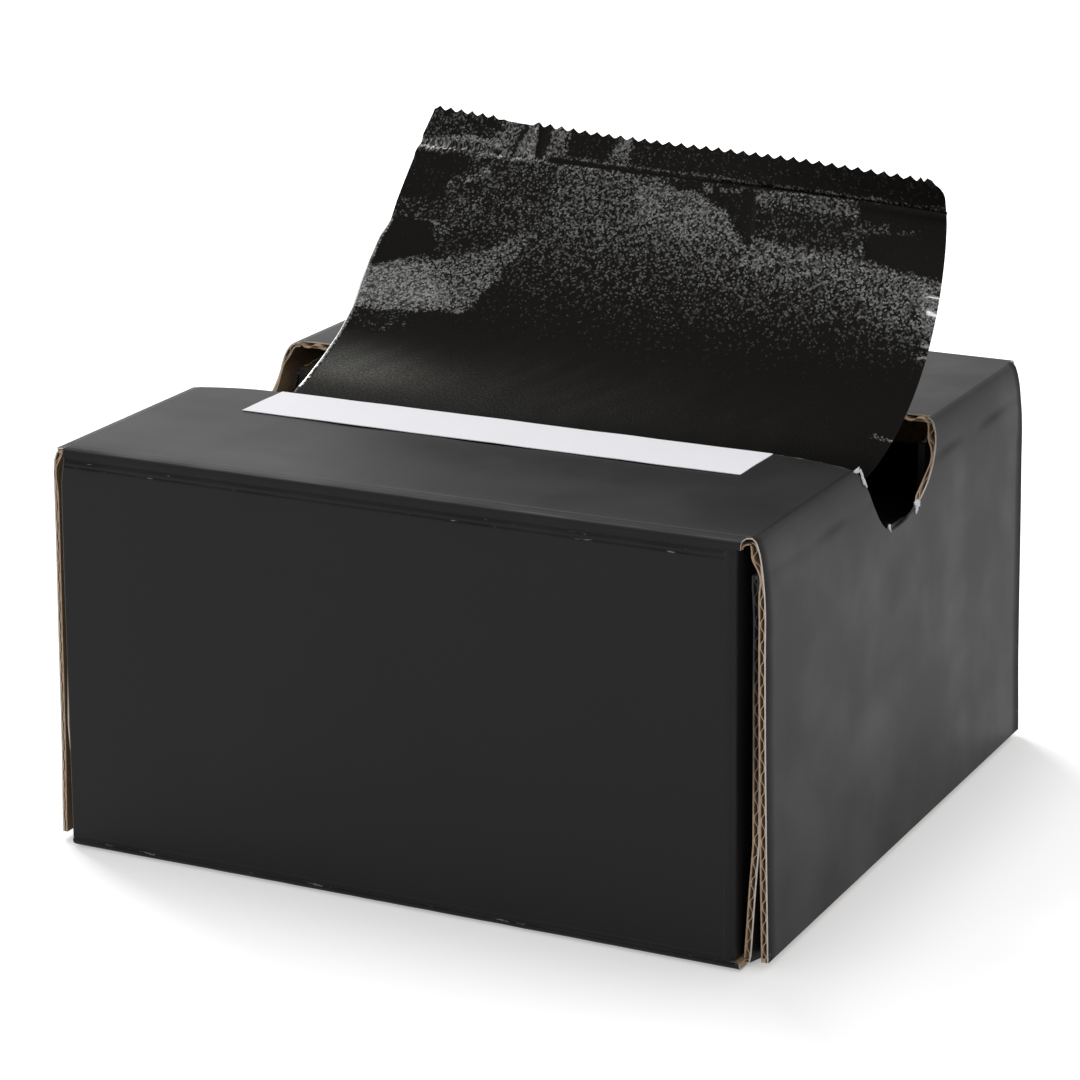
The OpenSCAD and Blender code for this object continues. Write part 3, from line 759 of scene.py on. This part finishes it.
def make_side_flaps(b, c):
    """Outer flaps from the top panel and inner flaps from the bottom panel, on both sides."""
    parts = Parts()
    for side in (-1, 1):
        outer, inner = flap_paths(side, b)
        for path, grow, outside in ((outer, 0.0, True), (inner, b.notch_step, False)):
            end = path[0][-1]

            def place(s, y):
                """Printed face: the path carried along Y, with shallow swells."""
                face, normal = carried(path, s, y, 1)
                flat = ramp(end - s, 6, 24) * ramp(s, 0, 18)
                depth = 0.12 * (1.1 + swells(y, s, 21 + side)) * flat
                if outside:
                    depth = depth + 0.05 * bell(end - s, SCORE, 1.6)
                elif side > 0:
                    bulge = ramp(np.abs(y), 71, 65) * ramp(face[..., 2], 16, 1) * ramp(s, 0, 1.8)
                    face[..., 0] += b.right_bulge * bulge
                return (face - normal * depth[..., None]) * [side, 1, 1], normal * [side, 1, 1]

            def state(s, y):
                """Thickness at each point and how dark the papers are there.

                The outer flap is crushed below its notch. The inner flap is squeezed against the
                ear and has painted shade, darker upwards, in the gap behind the outer one.
                """
                x, z = along(path, s[:, 0])[0].T[..., None]
                if not outside:
                    room = np.clip(x - b.panel_half - 0.1, 0.7, b.board)
                    squeezed = np.where(z > b.meet_height, room, b.board) + 0 * y
                    # Painted shade on the inner flap, darker towards its top.
                    return squeezed, 0 * y - 0.65 * ramp(z, 12, 45) - 0.4 * ramp(z, 50, 66)
                crush = -ramp(z, 70.2, 68.6) * ramp(z, 60, 65) * bell(y, 1, 13)
                own = flap_thickness(path, s, b) * (1 if side > 0 else b.left_thick / b.board)
                return own * (1 + 0.7 * crush), crush

            lead = b.left_lead if outside and side < 0 else 0.0
            s = notch_rows(path, b, grow, 0.0, end)
            y, keep = flap_grid(path, b, grow, s, 24, lead)
            thick, shade = state(s, y)
            scored = 0.25 * bell(s, end - SCORE, 1.0) * (0.5 + swells(y, s, 4, 4, 30, 9))
            rubbed = 0.75 * bell(b.flap_end - np.abs(y), 0, 0.35)
            # The inner flap's painted shade also darkens its outer liner and its edges.
            wear = np.maximum(rubbed, scored) * outside + shade
            add_board(parts, place(s, y), b, keep, wear, thick, crushed=shade)
            s = np.arange(0.02, end, 0.25)[:, None]
            y, keep = flap_grid(path, b, grow, s, 5, lead)
            add_flutes(parts, place(s, y), b.panel_half + end - s, b, keep, *state(s, y))
            s = (SHORT_OF_EDGE[::-1] if outside else end - SHORT_OF_EDGE)[:, None]
            y, _ = flap_grid(path, b, grow, s, 20)
            for half in ([y] if outside else np.hsplit(y, 2)):
                add_filling(parts, place(s, half), b, *state(s, half))
    for centre, across, down in TUFTS:
        add_tuft(parts, np.array(centre), np.array(across), np.array(down))
    return new_object("side_flaps", parts, carton_materials(c), ["carton"])


def make_ears(b, c):
    """Four ears, folded in from the front and back panels behind the side flaps."""
    parts = Parts()
    for side, fold in ((-1, b.left_fold), (1, b.right_fold)):
        start = b.panel_half - fold - (b.right_in if side > 0 else 0)
        path = walk([(start, -DEEP), *arc((start, -DEEP + fold), fold, -90, 0),
                     (b.panel_half, -DEEP + b.ear_length)])
        end = path[0][-1]

        def rows_at(s, count):
            """Heights up the ear, whose upper edge falls towards the free end."""
            high = b.ear_high - b.ear_taper * np.clip((s - 2) / (end - 2), 0, 1)
            share = np.linspace(0, 1, count) ** (0.45 if count > 20 else 1)
            return b.ear_low + (high - b.ear_low) * share

        for front in (1, -1):

            def place(s, z):
                """Printed face: the path carried up along Z."""
                face, normal = carried(path, s, z, 2)
                depth = 0.15 * (1 + swells(z, s, 31 + side + 2 * front)) * ramp(s, 6, 20)
                depth = depth + 0.38 * bell(z, TOP - 2, 0.35) * ramp(s, 2 * fold, 0)
                if front > 0:
                    lean = np.interp(z, [b.ear_low, b.ear_high], [b.panel_swell, -b.panel_pinch])
                    swell = (side < 0) * b.left_swell * np.interp(z, *LEFT_SWELL)
                    face[..., 0] += ramp(s, 5, 1.5) * swell + ramp(s, 14, 2) * lean
                mirror = [side, front, 1]
                return (face - normal * depth[..., None]) * mirror, normal * mirror

            s = spread((0, end), 2.5, [1.5], 0.2, 3.0)[:, None]
            # The ears' cut edges take the black print as painted shade, in place of bare kraft.
            add_board(parts, place(s, rows_at(s, 60)), b, rim=PRINT)
            s = np.arange(0.5, end - 0.6, 0.35)[:, None]
            add_flutes(parts, place(s, rows_at(s, 3)), s, b)
            s = (end - SHORT_OF_EDGE)[:, None]
            # The ears' free ends are closed in black print: painted shade over the cut board.
            add_layer(parts, place(s, rows_at(s, 12)), 0.02, b.board - 0.02, (PRINT,) * 3)
    return new_object("ears", parts, carton_materials(c), ["carton"])


def raised(x, y, *heights):
    """Grids of points over x and y, one at each of these heights."""
    return [np.stack(np.broadcast_arrays(x, y, z), -1) for z in heights]


def make_label(c):
    """The bare paper strip on the lip: a thin plate whose edges wander a little."""
    u, v = np.meshgrid(np.linspace(0, 1, 140), np.linspace(0, 1, 22))
    x, y = (low + (high - low) * t for low, high, t in zip(LABEL_LO, LABEL_HI, (u, v)))
    x = x + 0.12 * swells(y, 0 * y, 41, 4, 12, 3) * (2 * u - 1) ** 8
    y = y - 0.12 * (1 + swells(x, 0 * x, 42, 5, 16, 4)) * (2 * v - 1) ** 8 * np.sign(v - 0.5)
    top = LABEL_HI[2] - 0.05 * (1 + swells(x, y, 43, 4, 40, 12))
    parts = Parts()
    parts.add(*raised(x, y, top, top - 0.14), (0, 0, 0))
    return new_object("label_paper_strip", parts, [label_paper(c)], ["label_strip"])


# ---------------------------------------------------------------- foil


def make_pack(c):
    """The pack of interfolded sheets: ridged sides round a core, and a crumpled sheet on top."""
    parts = Parts()
    lo, hi = PACK_LO, PACK_HI
    middle, half = (lo + hi) / 2, (hi - lo) / 2
    corner, ridge = 2.0, 2.0
    x, y = half[:2] - corner
    outline = walk(np.concatenate([
        *(arc(at, corner, start, start + 90) for start, at in (
            (0, (x, y)), (90, (-x, y)), (180, (-x, -y)), (270, (x, -y)))),
        [(half[0], y)]]), 0.5)
    s = np.linspace(0, outline[0][-1], 220)
    p, q = along(outline, s)
    z = np.linspace(lo[2] + 0.05, hi[2] - 0.6, 156)[:, None]
    depth = 0.28 * (1 - np.cos(2 * math.pi * (z - lo[2]) / ridge)) / 2
    depth = depth + 0.16 * (1 + swells(4 * z, 0.06 * s, 51, 6, 30, 9))
    sides = (middle[:2] + p - q * deep[..., None] for deep in (depth, np.full(depth.shape, 1.2)))
    parts.add(*(np.insert(side, 2, z, -1) for side in sides), (1, 1, 1))
    u, v = np.meshgrid(np.linspace(-1, 1, 110), np.linspace(-1, 1, 120))
    x, y = middle[0] + (half[0] - 0.9) * u, middle[1] + (half[1] - 0.9) * v
    top = hi[2] - 0.3 * (1 + swells(x, y, 52, 6, 60, 14)) - 0.25 * (u ** 8 + v ** 8)
    # An even painted sheen of 0.25 gives the top sheet painted glints.
    parts.add(*raised(x, y, top, lo[2] + 0.1), (0, 1, 1), wear=0.25 + 0 * x,
              uv=np.stack([x, y], -1) * MM)
    materials = [black_foil(c), silver_foil("pack_edge", PACK_EDGE)]
    return new_object("foil_pack", parts, materials, ["foil_stack"])


def make_pulled_sheet(h, c):
    """The pulled sheet: a grid carried along a curved middle line whose cross direction turns.

    Its lean rises from the lip to the top edge, its cross direction turns back and then forwards,
    and its right-hand side droops at the lip. Swells, creases and teeth are added to that.
    """
    pull, width = h.pull, h.width
    hem_share = 1 - h.hem / pull
    start = PACK_LO[0] + width / 2, PACK_LO[1], PACK_HI[2] + 0.35
    leave = np.array([start[0] + 2.5, -18.5, TOP - 1.5 - 0.35])

    dense = np.linspace(0, 1, 1500)
    lean = 7 + 69.5 * dense + 33 * dense * (1 - dense)
    lean = lean + 6 * ramp(dense, hem_share - 0.004, hem_share + 0.004)
    lean, skew = np.radians(lean), math.radians(3.0)
    heading = np.stack([np.full(dense.shape, math.sin(skew)), np.cos(lean) * math.cos(skew),
                        np.sin(lean) * math.cos(skew)], -1)
    step = (heading[1:] + heading[:-1]) / 2 * pull / (len(dense) - 1)
    line = leave + np.concatenate([[[0, 0, 0]], np.cumsum(step, axis=0)])

    outside = np.unique(np.concatenate([
        np.linspace(0, hem_share - 0.02, 118), np.linspace(hem_share - 0.02, hem_share + 0.02, 11),
        np.linspace(hem_share + 0.02, 1, 18)]))
    inside = np.linspace(0, 1, 26)[:-1]
    slide = inside ** 8
    hidden = start + (leave - start) * np.stack([slide, inside, ramp(inside, 0, 1)], -1)

    def level_at(turn):
        """Level cross directions, turned clockwise seen from above."""
        return np.stack([np.cos(turn), -np.sin(turn), 0 * turn], -1)

    turn = np.radians(10.5 * outside ** 2 - 13.2 * outside * (1 - outside))
    run = unit(read_at(outside, dense, heading))
    level = level_at(turn)
    cross = unit(level - run * (run * level).sum(1)[:, None])
    low_run = unit(np.gradient(np.concatenate([hidden, leave[None]]), axis=0)[:-1])
    rows_line = np.concatenate([hidden, read_at(outside, dense, line)])
    rows_cross = np.concatenate([level_at(skew * slide), cross])
    rows_run = np.concatenate([low_run, run])
    normal = unit(np.cross(rows_cross, rows_run))
    s = np.concatenate([inside - 1, outside])[:, None]
    shown = np.clip(s, 0, 1)
    droop = 1.7 * np.where(s < 0, (s + 1) ** 8, (1 - shown) ** 2)

    per_tooth = 6
    u = np.linspace(0, 1, h.teeth * per_tooth + 1)[None, :]
    height = (1 - shown) * pull
    corner = 3.0
    cut = np.maximum(0, corner - height)
    cut = corner - np.sqrt(corner ** 2 - np.minimum(cut, corner) ** 2)
    x = width * (u - 0.5)
    x = x - cut * np.maximum(0, 1 - (width / 2 - x) / (2 * corner))
    inset = np.interp(shown * pull, (10, 22, 28, 34, 40, 46, 50, 55, 67, 70, 74),
                      (0, 0.8, 0.9, 0.2, 0, 0.1, 1.1, 0.7, 0.4, 0.7, 1.2))
    x = x + inset * np.clip(1 - (x + width / 2) / 20, 0, 1)
    fall = h.fall * (1 - ramp(x / width, -0.24, 0.35)) * shown ** 4
    rise = shown * pull - fall

    beat = (u * h.teeth) % 1.0
    tooth = h.tooth * (1 - np.abs(2 * beat - 1)) ** 1.35
    tooth = tooth * (0.9 + 0.1 * swells(x[-1:], 0 * x[-1:], 61, 4, 30, 7))
    number = np.floor(u * h.teeth - 1e-9)
    tooth = tooth * np.select([number == 6, (number == 7) | (number == 8)], [0.3, 0.05], 1.0)
    stretch = tooth * ramp(shown * pull, pull - 2.2, pull) - fall

    relief = sheet_relief(x, shown * pull, pull - h.hem) * ramp(shown, 0.0, 0.12)
    ways = (rows_cross, x), (rows_run, stretch), (normal, relief)
    point = rows_line[:, None] + sum(way[:, None] * far[..., None] for way, far in ways)
    point[..., 2] -= droop * np.maximum(0, 2 * x / width)
    flat = np.stack(np.broadcast_arrays(x, s * pull), -1) * MM
    # The painted sheen, with the curled left edge in bare silver.
    curl = ramp(x - x[:, :1], 0.8, 0.2) * ramp(rise, 53, 48) * ramp(rise, 1, 5)
    sheen = sheet_sheen(x, rise) * (1 - curl) + 2.8 * curl
    parts = Parts()
    parts.add(*(point + normal[:, None] * half for half in (h.foil / 2, -h.foil / 2)), (0, 1, 0),
              wear=sheen, uv=flat)
    materials = [black_foil(c), silver_foil("bare_foil", c.foil_silver)]
    return new_object(
        "pulled_foil_sheet", parts, materials, ["pulled_sheet"], sharp=60.0)


def sheet_relief(x, rise, crease):
    """Height of the sheet's swells, creases and crumples above its smooth curve.

    x runs across and rise up from the lip, both in millimetres; crease is the hem's height.
    """
    relief = 0.28 * swells(x, rise, 71, 6, 70, 24) + 0.06 * swells(x, rise, 72, 8, 12, 4)
    crushed = ramp(x, -30, -38) * ramp(rise, 40, 60)
    relief = relief + crushed * 0.22 * swells(x, rise, 73, 7, 22, 7)
    relief = relief - 0.35 * bell(rise, crease, 0.45) + 0.15 * bell(rise, crease - 1.4, 0.8)
    for line, depth in FOLDS:
        relief = relief - depth * np.exp(-(distance_to(x, rise, line) / 0.6) ** 2)
    return relief


# Sharp folds pressed into the sheet: their lines, as (x, rise), and depths
FOLDS = (
    (((-39.3, 67.6), (-36.7, 75)), 0.35),
    (((-34.4, 66), (-34.4, 76)), 0.4),
    (((-53.4, 68), (-53.6, 75)), 0.3),
    (((-31.3, 68), (-31.3, 76)), 0.25),
    (((-1, 66.6), (8, 65.5), (14, 63), (18.5, 57.5), (21, 54.5), (21.4, 50)), 0.3),
    (((20.8, 67.5), (21.5, 57.5)), 0.2),
    (((43.5, 68), (44, 62), (46.5, 57)), 0.2),
    (((-48, 60.6), (-43.5, 63.4)), -0.3),
    (((-63.5, 66), (-57, 67.5), (-50, 68.4), (-43.5, 68.1)), -0.3),
)

# Strokes that paint the sheet's painted sheen, each over the ones before it: sheen, width of the
# line (0 fills its outline), softness of the edge and the line's corners as (x, rise). A sheen of 1
# is a dense painted glint on the embossing, 0 is plain black, over 2.4 is bare metal and below 0 a
# painted smooth reflection.
STROKES = (
    (0.65, 0, 4, ((-30, 66.5), (8.5, 66), (13, 62.5), (16, 59.5), (20.5, 54.5), (8, 53), (-8, 54),
                  (-22, 55), (-30, 58))),
    (1.05, 0, 1.5, ((-8, 65.5), (7, 65), (13, 62), (16, 59), (20, 55), (5, 55.5), (-6, 58))),
    (0.95, 0, 2.5, ((20.8, 56.4), (30, 56), (42, 56.5), (50, 55.3), (64, 54.3), (64, 47),
                    (48, 48.5), (44, 51), (20.5, 51.5))),
    (0.85, 0, 3, ((45, 53), (64, 53), (64, 43), (52, 44))),
    (1.3, 4, 2, ((61, 50), (63.5, 45))),
    (0.04, 0, 0.6, ((-1, 66.2), (0, 67.2), (20, 67.4), (21, 62), (21.5, 57.5), (20.8, 55),
                    (18.5, 56.8), (16.3, 59.5), (13.5, 62.3), (11, 63.6), (7.5, 65.2), (3, 65.2))),
    (1.0, 1.4, 0.8, ((8.5, 66.6), (9.5, 65.8))),
    (0.6, 1, 0.8, ((12.5, 66.2), (17, 66.6))),
    (0.75, 0, 1.2, ((20, 67.5), (43, 67.8), (43.5, 64.6), (20.5, 63.8))),
    (0.22, 0, 1.5, ((20.5, 64), (43, 64.5), (46, 62), (45, 57), (21.5, 57))),
    (0.0, 0, 0.7, ((43.5, 68), (64, 68.6), (64, 54.5), (55, 54.8), (50, 55.6), (46, 56.5),
                   (46.5, 60), (44, 62))),
    (0.3, 2.4, 1.5, ((44.5, 62.6), (50, 62.9))),
    (0.35, 1.2, 1, ((53, 63), (57.5, 62.8))),
    (0.0, 0, 0.8, ((-64, 51), (-54, 51), (-50.5, 47), (-50, 44), (-55, 41.8), (-64, 39))),
    (0.03, 0, 1, ((-64, 65.8), (-47.5, 66), (-48.5, 63), (-52, 59.5), (-53, 54), (-64, 54))),
    (0.2, 0, 1, ((-64, 55), (-51, 55.5), (-50, 51.8), (-64, 51))),
    (0.35, 0, 1.5, ((-48, 66), (-28, 66.5), (-26, 56), (-30, 51), (-36, 48.5), (-50, 50), (-53, 56),
                    (-51.5, 60))),
    (0.9, 1, 0.8, ((-48, 60.6), (-43.5, 63.4))),
    (0.55, 4, 2, ((-48.5, 55), (-43.5, 55))),
    (0.6, 2.4, 1.5, ((-36, 57.2), (-30, 57.2))),
    (0.15, 0, 1, ((-47, 50), (-38, 50.5), (-36, 48.5), (-41, 46.2), (-49, 44.5))),
    (0.9, 0, 0.9, ((-64, 38.6), (-60, 39.6), (-55, 41.6), (-47, 43), (-43, 44), (-40, 46),
                   (-36, 47.6), (-32, 49.6), (-28.5, 53), (-28.5, 50), (-31, 45), (-34, 38),
                   (-35.5, 35), (-37.5, 30.6), (-42, 31), (-48, 29.6), (-55, 28.6), (-64, 27.9))),
    (1.45, 0, 4, ((-64, 38), (-52, 40), (-43, 37), (-42, 32.5), (-50, 30.5), (-64, 29))),
    (0.12, 0, 1.2, ((-64, 27.6), (-50, 28.6), (-48, 25.5), (-52, 23), (-64, 23))),
    (0.05, 0, 0.8, ((-26, 68.2), (64, 70), (64, 77), (-26, 75))),
    (0.12, 3, 2, ((-8, 71.5), (8, 72))),
    (1.0, 0, 0.8, ((-15.8, 69), (-14.5, 72.6), (-11.5, 73.6), (-10, 72), (-10.5, 68.6))),
    (0.3, 0, 0.8, ((-64, 75), (-53.6, 75), (-53.6, 68.9), (-64, 67.6))),
    (0.22, 0, 0.8, ((-53, 68.8), (-53, 75), (-44, 75), (-44.5, 69.5))),
    (1.0, 0, 0.8, ((-45, 68.6), (-39.5, 68.2), (-36.9, 75), (-42, 75), (-43, 71))),
    (0.05, 1.4, 0.6, ((-39.3, 67.6), (-36.7, 75))),
    (1.3, 0, 0.6, ((-38.6, 67.2), (-36, 75), (-34.8, 75), (-34.2, 67.4))),
    (0.0, 0, 0.6, ((-34.4, 67.2), (-34.4, 76), (-31.3, 76), (-31.3, 67.2))),
    (0.9, 0, 1, ((-31.2, 69.3), (-31.4, 76), (-25.6, 76), (-27, 70))),
    (1.2, 1.1, 0.8, ((-63.5, 66.3), (-57, 67.5), (-52, 68.7), (-48, 68.6), (-43.5, 68.1))),
    (1.3, 0.7, 0.6, ((-47.5, 66.4), (-33.8, 66.5))),
    (0.0, 0.9, 0.5, ((-30, 67.1), (0, 67.6), (30, 68.2), (64, 68.8))),
    (2.6, 0.6, 0.5, ((61, 51.2), (64, 51))),
    (2.6, 1.2, 0.9, ((61.6, 48), (64, 47.5))),
    (2.6, 0.5, 0.5, ((62, 41.6), (64, 41.3))),
    (2.6, 0.4, 0.5, ((61.5, 39.2), (64, 38.8))),
    (2.5, 0.4, 0.5, ((59, 19.8), (64, 19.6))),
)


def distance_to(x, y, line):
    """Distance of each point from a line through corners."""
    near = np.full(np.broadcast(x, y).shape, np.inf)
    for (ax, ay), (bx, by) in zip(line[:-1], line[1:]):
        run = max((bx - ax) ** 2 + (by - ay) ** 2, 1e-9)
        t = np.clip(((x - ax) * (bx - ax) + (y - ay) * (by - ay)) / run, 0, 1)
        near = np.minimum(near, np.hypot(x - ax - t * (bx - ax), y - ay - t * (by - ay)))
    return near


def cover(x, y, width, soft, line):
    """Share to which a soft line of this width, or the outline it fills, covers each point."""
    if width:
        return ramp(width / 2 - distance_to(x, y, line), -soft / 2, soft / 2)
    closed = (*line, line[0])
    odd = np.zeros(np.broadcast(x, y).shape, bool)
    for (ax, ay), (bx, by) in zip(closed[:-1], closed[1:]):
        if ay != by:
            odd ^= ((ay > y) != (by > y)) & (x < ax + (y - ay) * (bx - ax) / (by - ay))
    away = distance_to(x, y, closed)
    return ramp(np.where(odd, away, -away), -soft / 2, soft / 2)


def sheet_sheen(x, rise):
    """Painted sheen, how much the embossing glints: a haze that fades down the sheet, painted over
    with strokes.

    x and rise are the sheet's own millimetres. The edges of the strokes wander a little.
    """
    low = np.interp(x, (-64, -30, 0, 20, 40, 64), (26, 25, 25, 27, 30, 34))
    high = np.interp(x, (-64, -30, 0, 20, 40, 64), (52, 60, 58, 55, 53, 46))
    sheen = 0.85 * np.clip((rise - low) / (high - low), 0, 1) ** 2.1
    # A painted smooth reflection at the lower left, as a negative sheen.
    sheen = sheen - 0.3 * bell(x, -58, 26) * bell(rise, 13, 8)
    wx = x + 0.9 * swells(x, rise, 81, 8, 9, 2)
    wy = rise + 0.7 * swells(x, rise, 82, 8, 9, 2)
    for value, width, soft, line in STROKES:
        share = cover(x, rise, width, soft, line) if width else cover(wx, wy, width, soft, line)
        sheen = sheen * (1 - share) + value * share
    return sheen


# ---------------------------------------------------------------- stage

CAMERA_PLACE = (0.319130, -0.665649, 0.279542)
CAMERA_RIGHT = (0.899588841, 0.436736599, -0.001029970)
CAMERA_DOWN = (0.126981070, -0.263810246, -0.956179879)
CAMERA_LOOK = (-0.417870465, 0.860037962, -0.292778034)
FOCAL_PIXELS = 3748.968
IMAGE_PIXELS = 1080
SENSOR = 36.0

# Lamps: place, target and size, in metres
SHADOW_LAMP = ((-0.75, 0.55, 1.1), (0, 0, 0.05), 0.55)
FRONT_LAMP = ((0.05, -1.6, 0.55), (0, 0, 0.08), 0.9)


def turned(axes, place):
    """A matrix with these axes as its columns, at this place."""
    world = np.eye(4)
    world[:3, :3], world[:3, 3] = np.stack(axes, -1), place
    return Matrix(world.tolist())


def make_camera():
    """The photo's viewpoint, fitted to the carton's corners."""
    data = bpy.data.cameras.new("photo_camera")
    data.sensor_fit = "HORIZONTAL"
    data.sensor_width = SENSOR
    data.lens = FOCAL_PIXELS * SENSOR / IMAGE_PIXELS
    data.clip_start, data.clip_end = 0.01, 50.0
    camera = link("photo_camera", data)
    camera.matrix_world = turned(
        (CAMERA_RIGHT, times(-1, CAMERA_DOWN), times(-1, CAMERA_LOOK)), CAMERA_PLACE)
    bpy.context.scene.camera = camera


def make_floor(c):
    """Pale floor that looks white to the camera and in reflections, with a painted shadow close to
    the carton.

    The painted shadow runs with the greater of the distances past the carton's sides and ends.
    """
    n = Nodes("floor")
    axes = n.new("ShaderNodeSeparateXYZ", {"Vector": n.place()})
    away = n.math("MAXIMUM", *(
        n.math("SUBTRACT", n.math("ABSOLUTE", axis, 0.0), half * MM)
        for axis, half in ((axes[0], OUT), (axes[1], DEEP))))
    # Painted contact shadow: the floor's own glow dims close to the carton.
    painted_contact_shadow = n.steps(away, -2 * MM, 30 * MM, 0.66, 1.0)
    glow = n.math("MULTIPLY", n.math("MULTIPLY", n.seen(), painted_contact_shadow), 0.5)
    size, below = 6.0, -0.3 * MM
    corners = [(x * size, y * size, below) for x, y in ((-1, -1), (1, -1), (1, 1), (-1, 1))]
    mesh = bpy.data.meshes.new("floor")
    mesh.from_pydata(corners, [], [(0, 1, 2, 3)])
    mesh.materials.append(n.finish(
        Base_Color=c.floor, Roughness=0.9, Specular_IOR_Level=0.0, Emission_Color=WHITE,
        Emission_Strength=glow))
    floor = link("floor", mesh)


def make_world(strength):
    """White to the camera and in reflections, and a plain light on everything else."""
    n = Nodes("studio", "worlds", "Background")
    level = n.new("ShaderNodeMapRange", {"Value": n.seen(), "To Min": strength, "To Max": 1.0})
    bpy.context.scene.world = n.finish(Color=WHITE, Strength=level["Result"])


def make_lamp(name, place, target, size, power):
    """A square soft lamp that faces a target."""
    data = bpy.data.lights.new(name, "AREA")
    data.shape, data.size, data.energy = "SQUARE", size, power
    back = unit(np.subtract(place, target))
    side = unit(np.cross((0, 0, 1), back))
    link(name, data).matrix_world = turned((side, np.cross(back, side), back), place)


# ---------------------------------------------------------------- operators


def board_settings(context):
    """The board's sizes in millimetres and the colours, as they stand in the sidebar."""
    return millimetres(context.scene.foilbox_board), context.scene.foilbox_colours


class FOILBOX_OT_carton(bpy.types.Operator):
    """Builds the folded tube of the carton with the slot across its top."""

    bl_idname = "foilbox.carton"
    bl_label = "Carton Panels"

    def execute(self, context):
        make_carton_panels(*board_settings(context))
        return {"FINISHED"}


class FOILBOX_OT_flaps(bpy.types.Operator):
    """Builds the notched side flaps."""

    bl_idname = "foilbox.flaps"
    bl_label = "Side Flaps"

    def execute(self, context):
        make_side_flaps(*board_settings(context))
        return {"FINISHED"}


class FOILBOX_OT_ears(bpy.types.Operator):
    """Builds the four ears behind the side flaps."""

    bl_idname = "foilbox.ears"
    bl_label = "Ears"

    def execute(self, context):
        make_ears(*board_settings(context))
        return {"FINISHED"}


class FOILBOX_OT_label(bpy.types.Operator):
    """Builds the bare paper strip on the lip."""

    bl_idname = "foilbox.label"
    bl_label = "Label Strip"

    def execute(self, context):
        make_label(context.scene.foilbox_colours)
        return {"FINISHED"}


class FOILBOX_OT_pack(bpy.types.Operator):
    """Builds the pack of interfolded sheets."""

    bl_idname = "foilbox.pack"
    bl_label = "Foil Pack"

    def execute(self, context):
        make_pack(context.scene.foilbox_colours)
        return {"FINISHED"}


class FOILBOX_OT_sheet(bpy.types.Operator):
    """Builds the pulled foil sheet with its pinked edge."""

    bl_idname = "foilbox.sheet"
    bl_label = "Pulled Sheet"

    def execute(self, context):
        make_pulled_sheet(millimetres(context.scene.foilbox_sheet), context.scene.foilbox_colours)
        return {"FINISHED"}


class FOILBOX_OT_stage(bpy.types.Operator):
    """Builds the floor, the lights and the camera."""

    bl_idname = "foilbox.stage"
    bl_label = "Stage"

    def execute(self, context):
        stage = context.scene.foilbox_stage
        context.scene.view_settings.view_transform = "Standard"
        make_camera()
        make_floor(context.scene.foilbox_colours)
        make_world(stage.world)
        make_lamp("shadow_lamp", *SHADOW_LAMP, stage.key)
        make_lamp("front_lamp", *FRONT_LAMP, stage.front)
        return {"FINISHED"}


class FOILBOX_PT_sidebar(bpy.types.Panel):
    """Lists the pieces in the 3D view's sidebar."""

    bl_idname = "FOILBOX_PT_sidebar"
    bl_label = "Pop-up Foil Box"
    bl_space_type = "VIEW_3D"
    bl_region_type = "UI"
    bl_category = "Foil Box"

    def draw(self, context):
        for step in STEPS:
            self.layout.operator(step.bl_idname)
        for name in GROUPS:
            group = getattr(context.scene, name)
            box = self.layout.box()
            for key in group.__annotations__:
                box.prop(group, key)


STEPS = (FOILBOX_OT_stage, FOILBOX_OT_carton, FOILBOX_OT_flaps, FOILBOX_OT_ears, FOILBOX_OT_label,
         FOILBOX_OT_pack, FOILBOX_OT_sheet)
GROUPS = {"foilbox_board": FoilBoxBoard, "foilbox_sheet": FoilBoxSheet,
          "foilbox_colours": FoilBoxColours, "foilbox_stage": FoilBoxStage}


def register():
    """Registers the settings, the operators and the panel."""
    for kind in (*GROUPS.values(), *STEPS, FOILBOX_PT_sidebar):
        bpy.utils.register_class(kind)
    for name, kind in GROUPS.items():
        setattr(bpy.types.Scene, name, bpy.props.PointerProperty(type=kind))


def unregister():
    """Takes them away again."""
    for name in GROUPS:
        delattr(bpy.types.Scene, name)
    for kind in (FOILBOX_PT_sidebar, *reversed(STEPS), *reversed(list(GROUPS.values()))):
        bpy.utils.unregister_class(kind)


def main():
    """Builds every piece and the stage."""
    register()
    for step in STEPS:
        group, name = step.bl_idname.split(".")
        getattr(getattr(bpy.ops, group), name)()


if __name__ == "__main__":
    main()
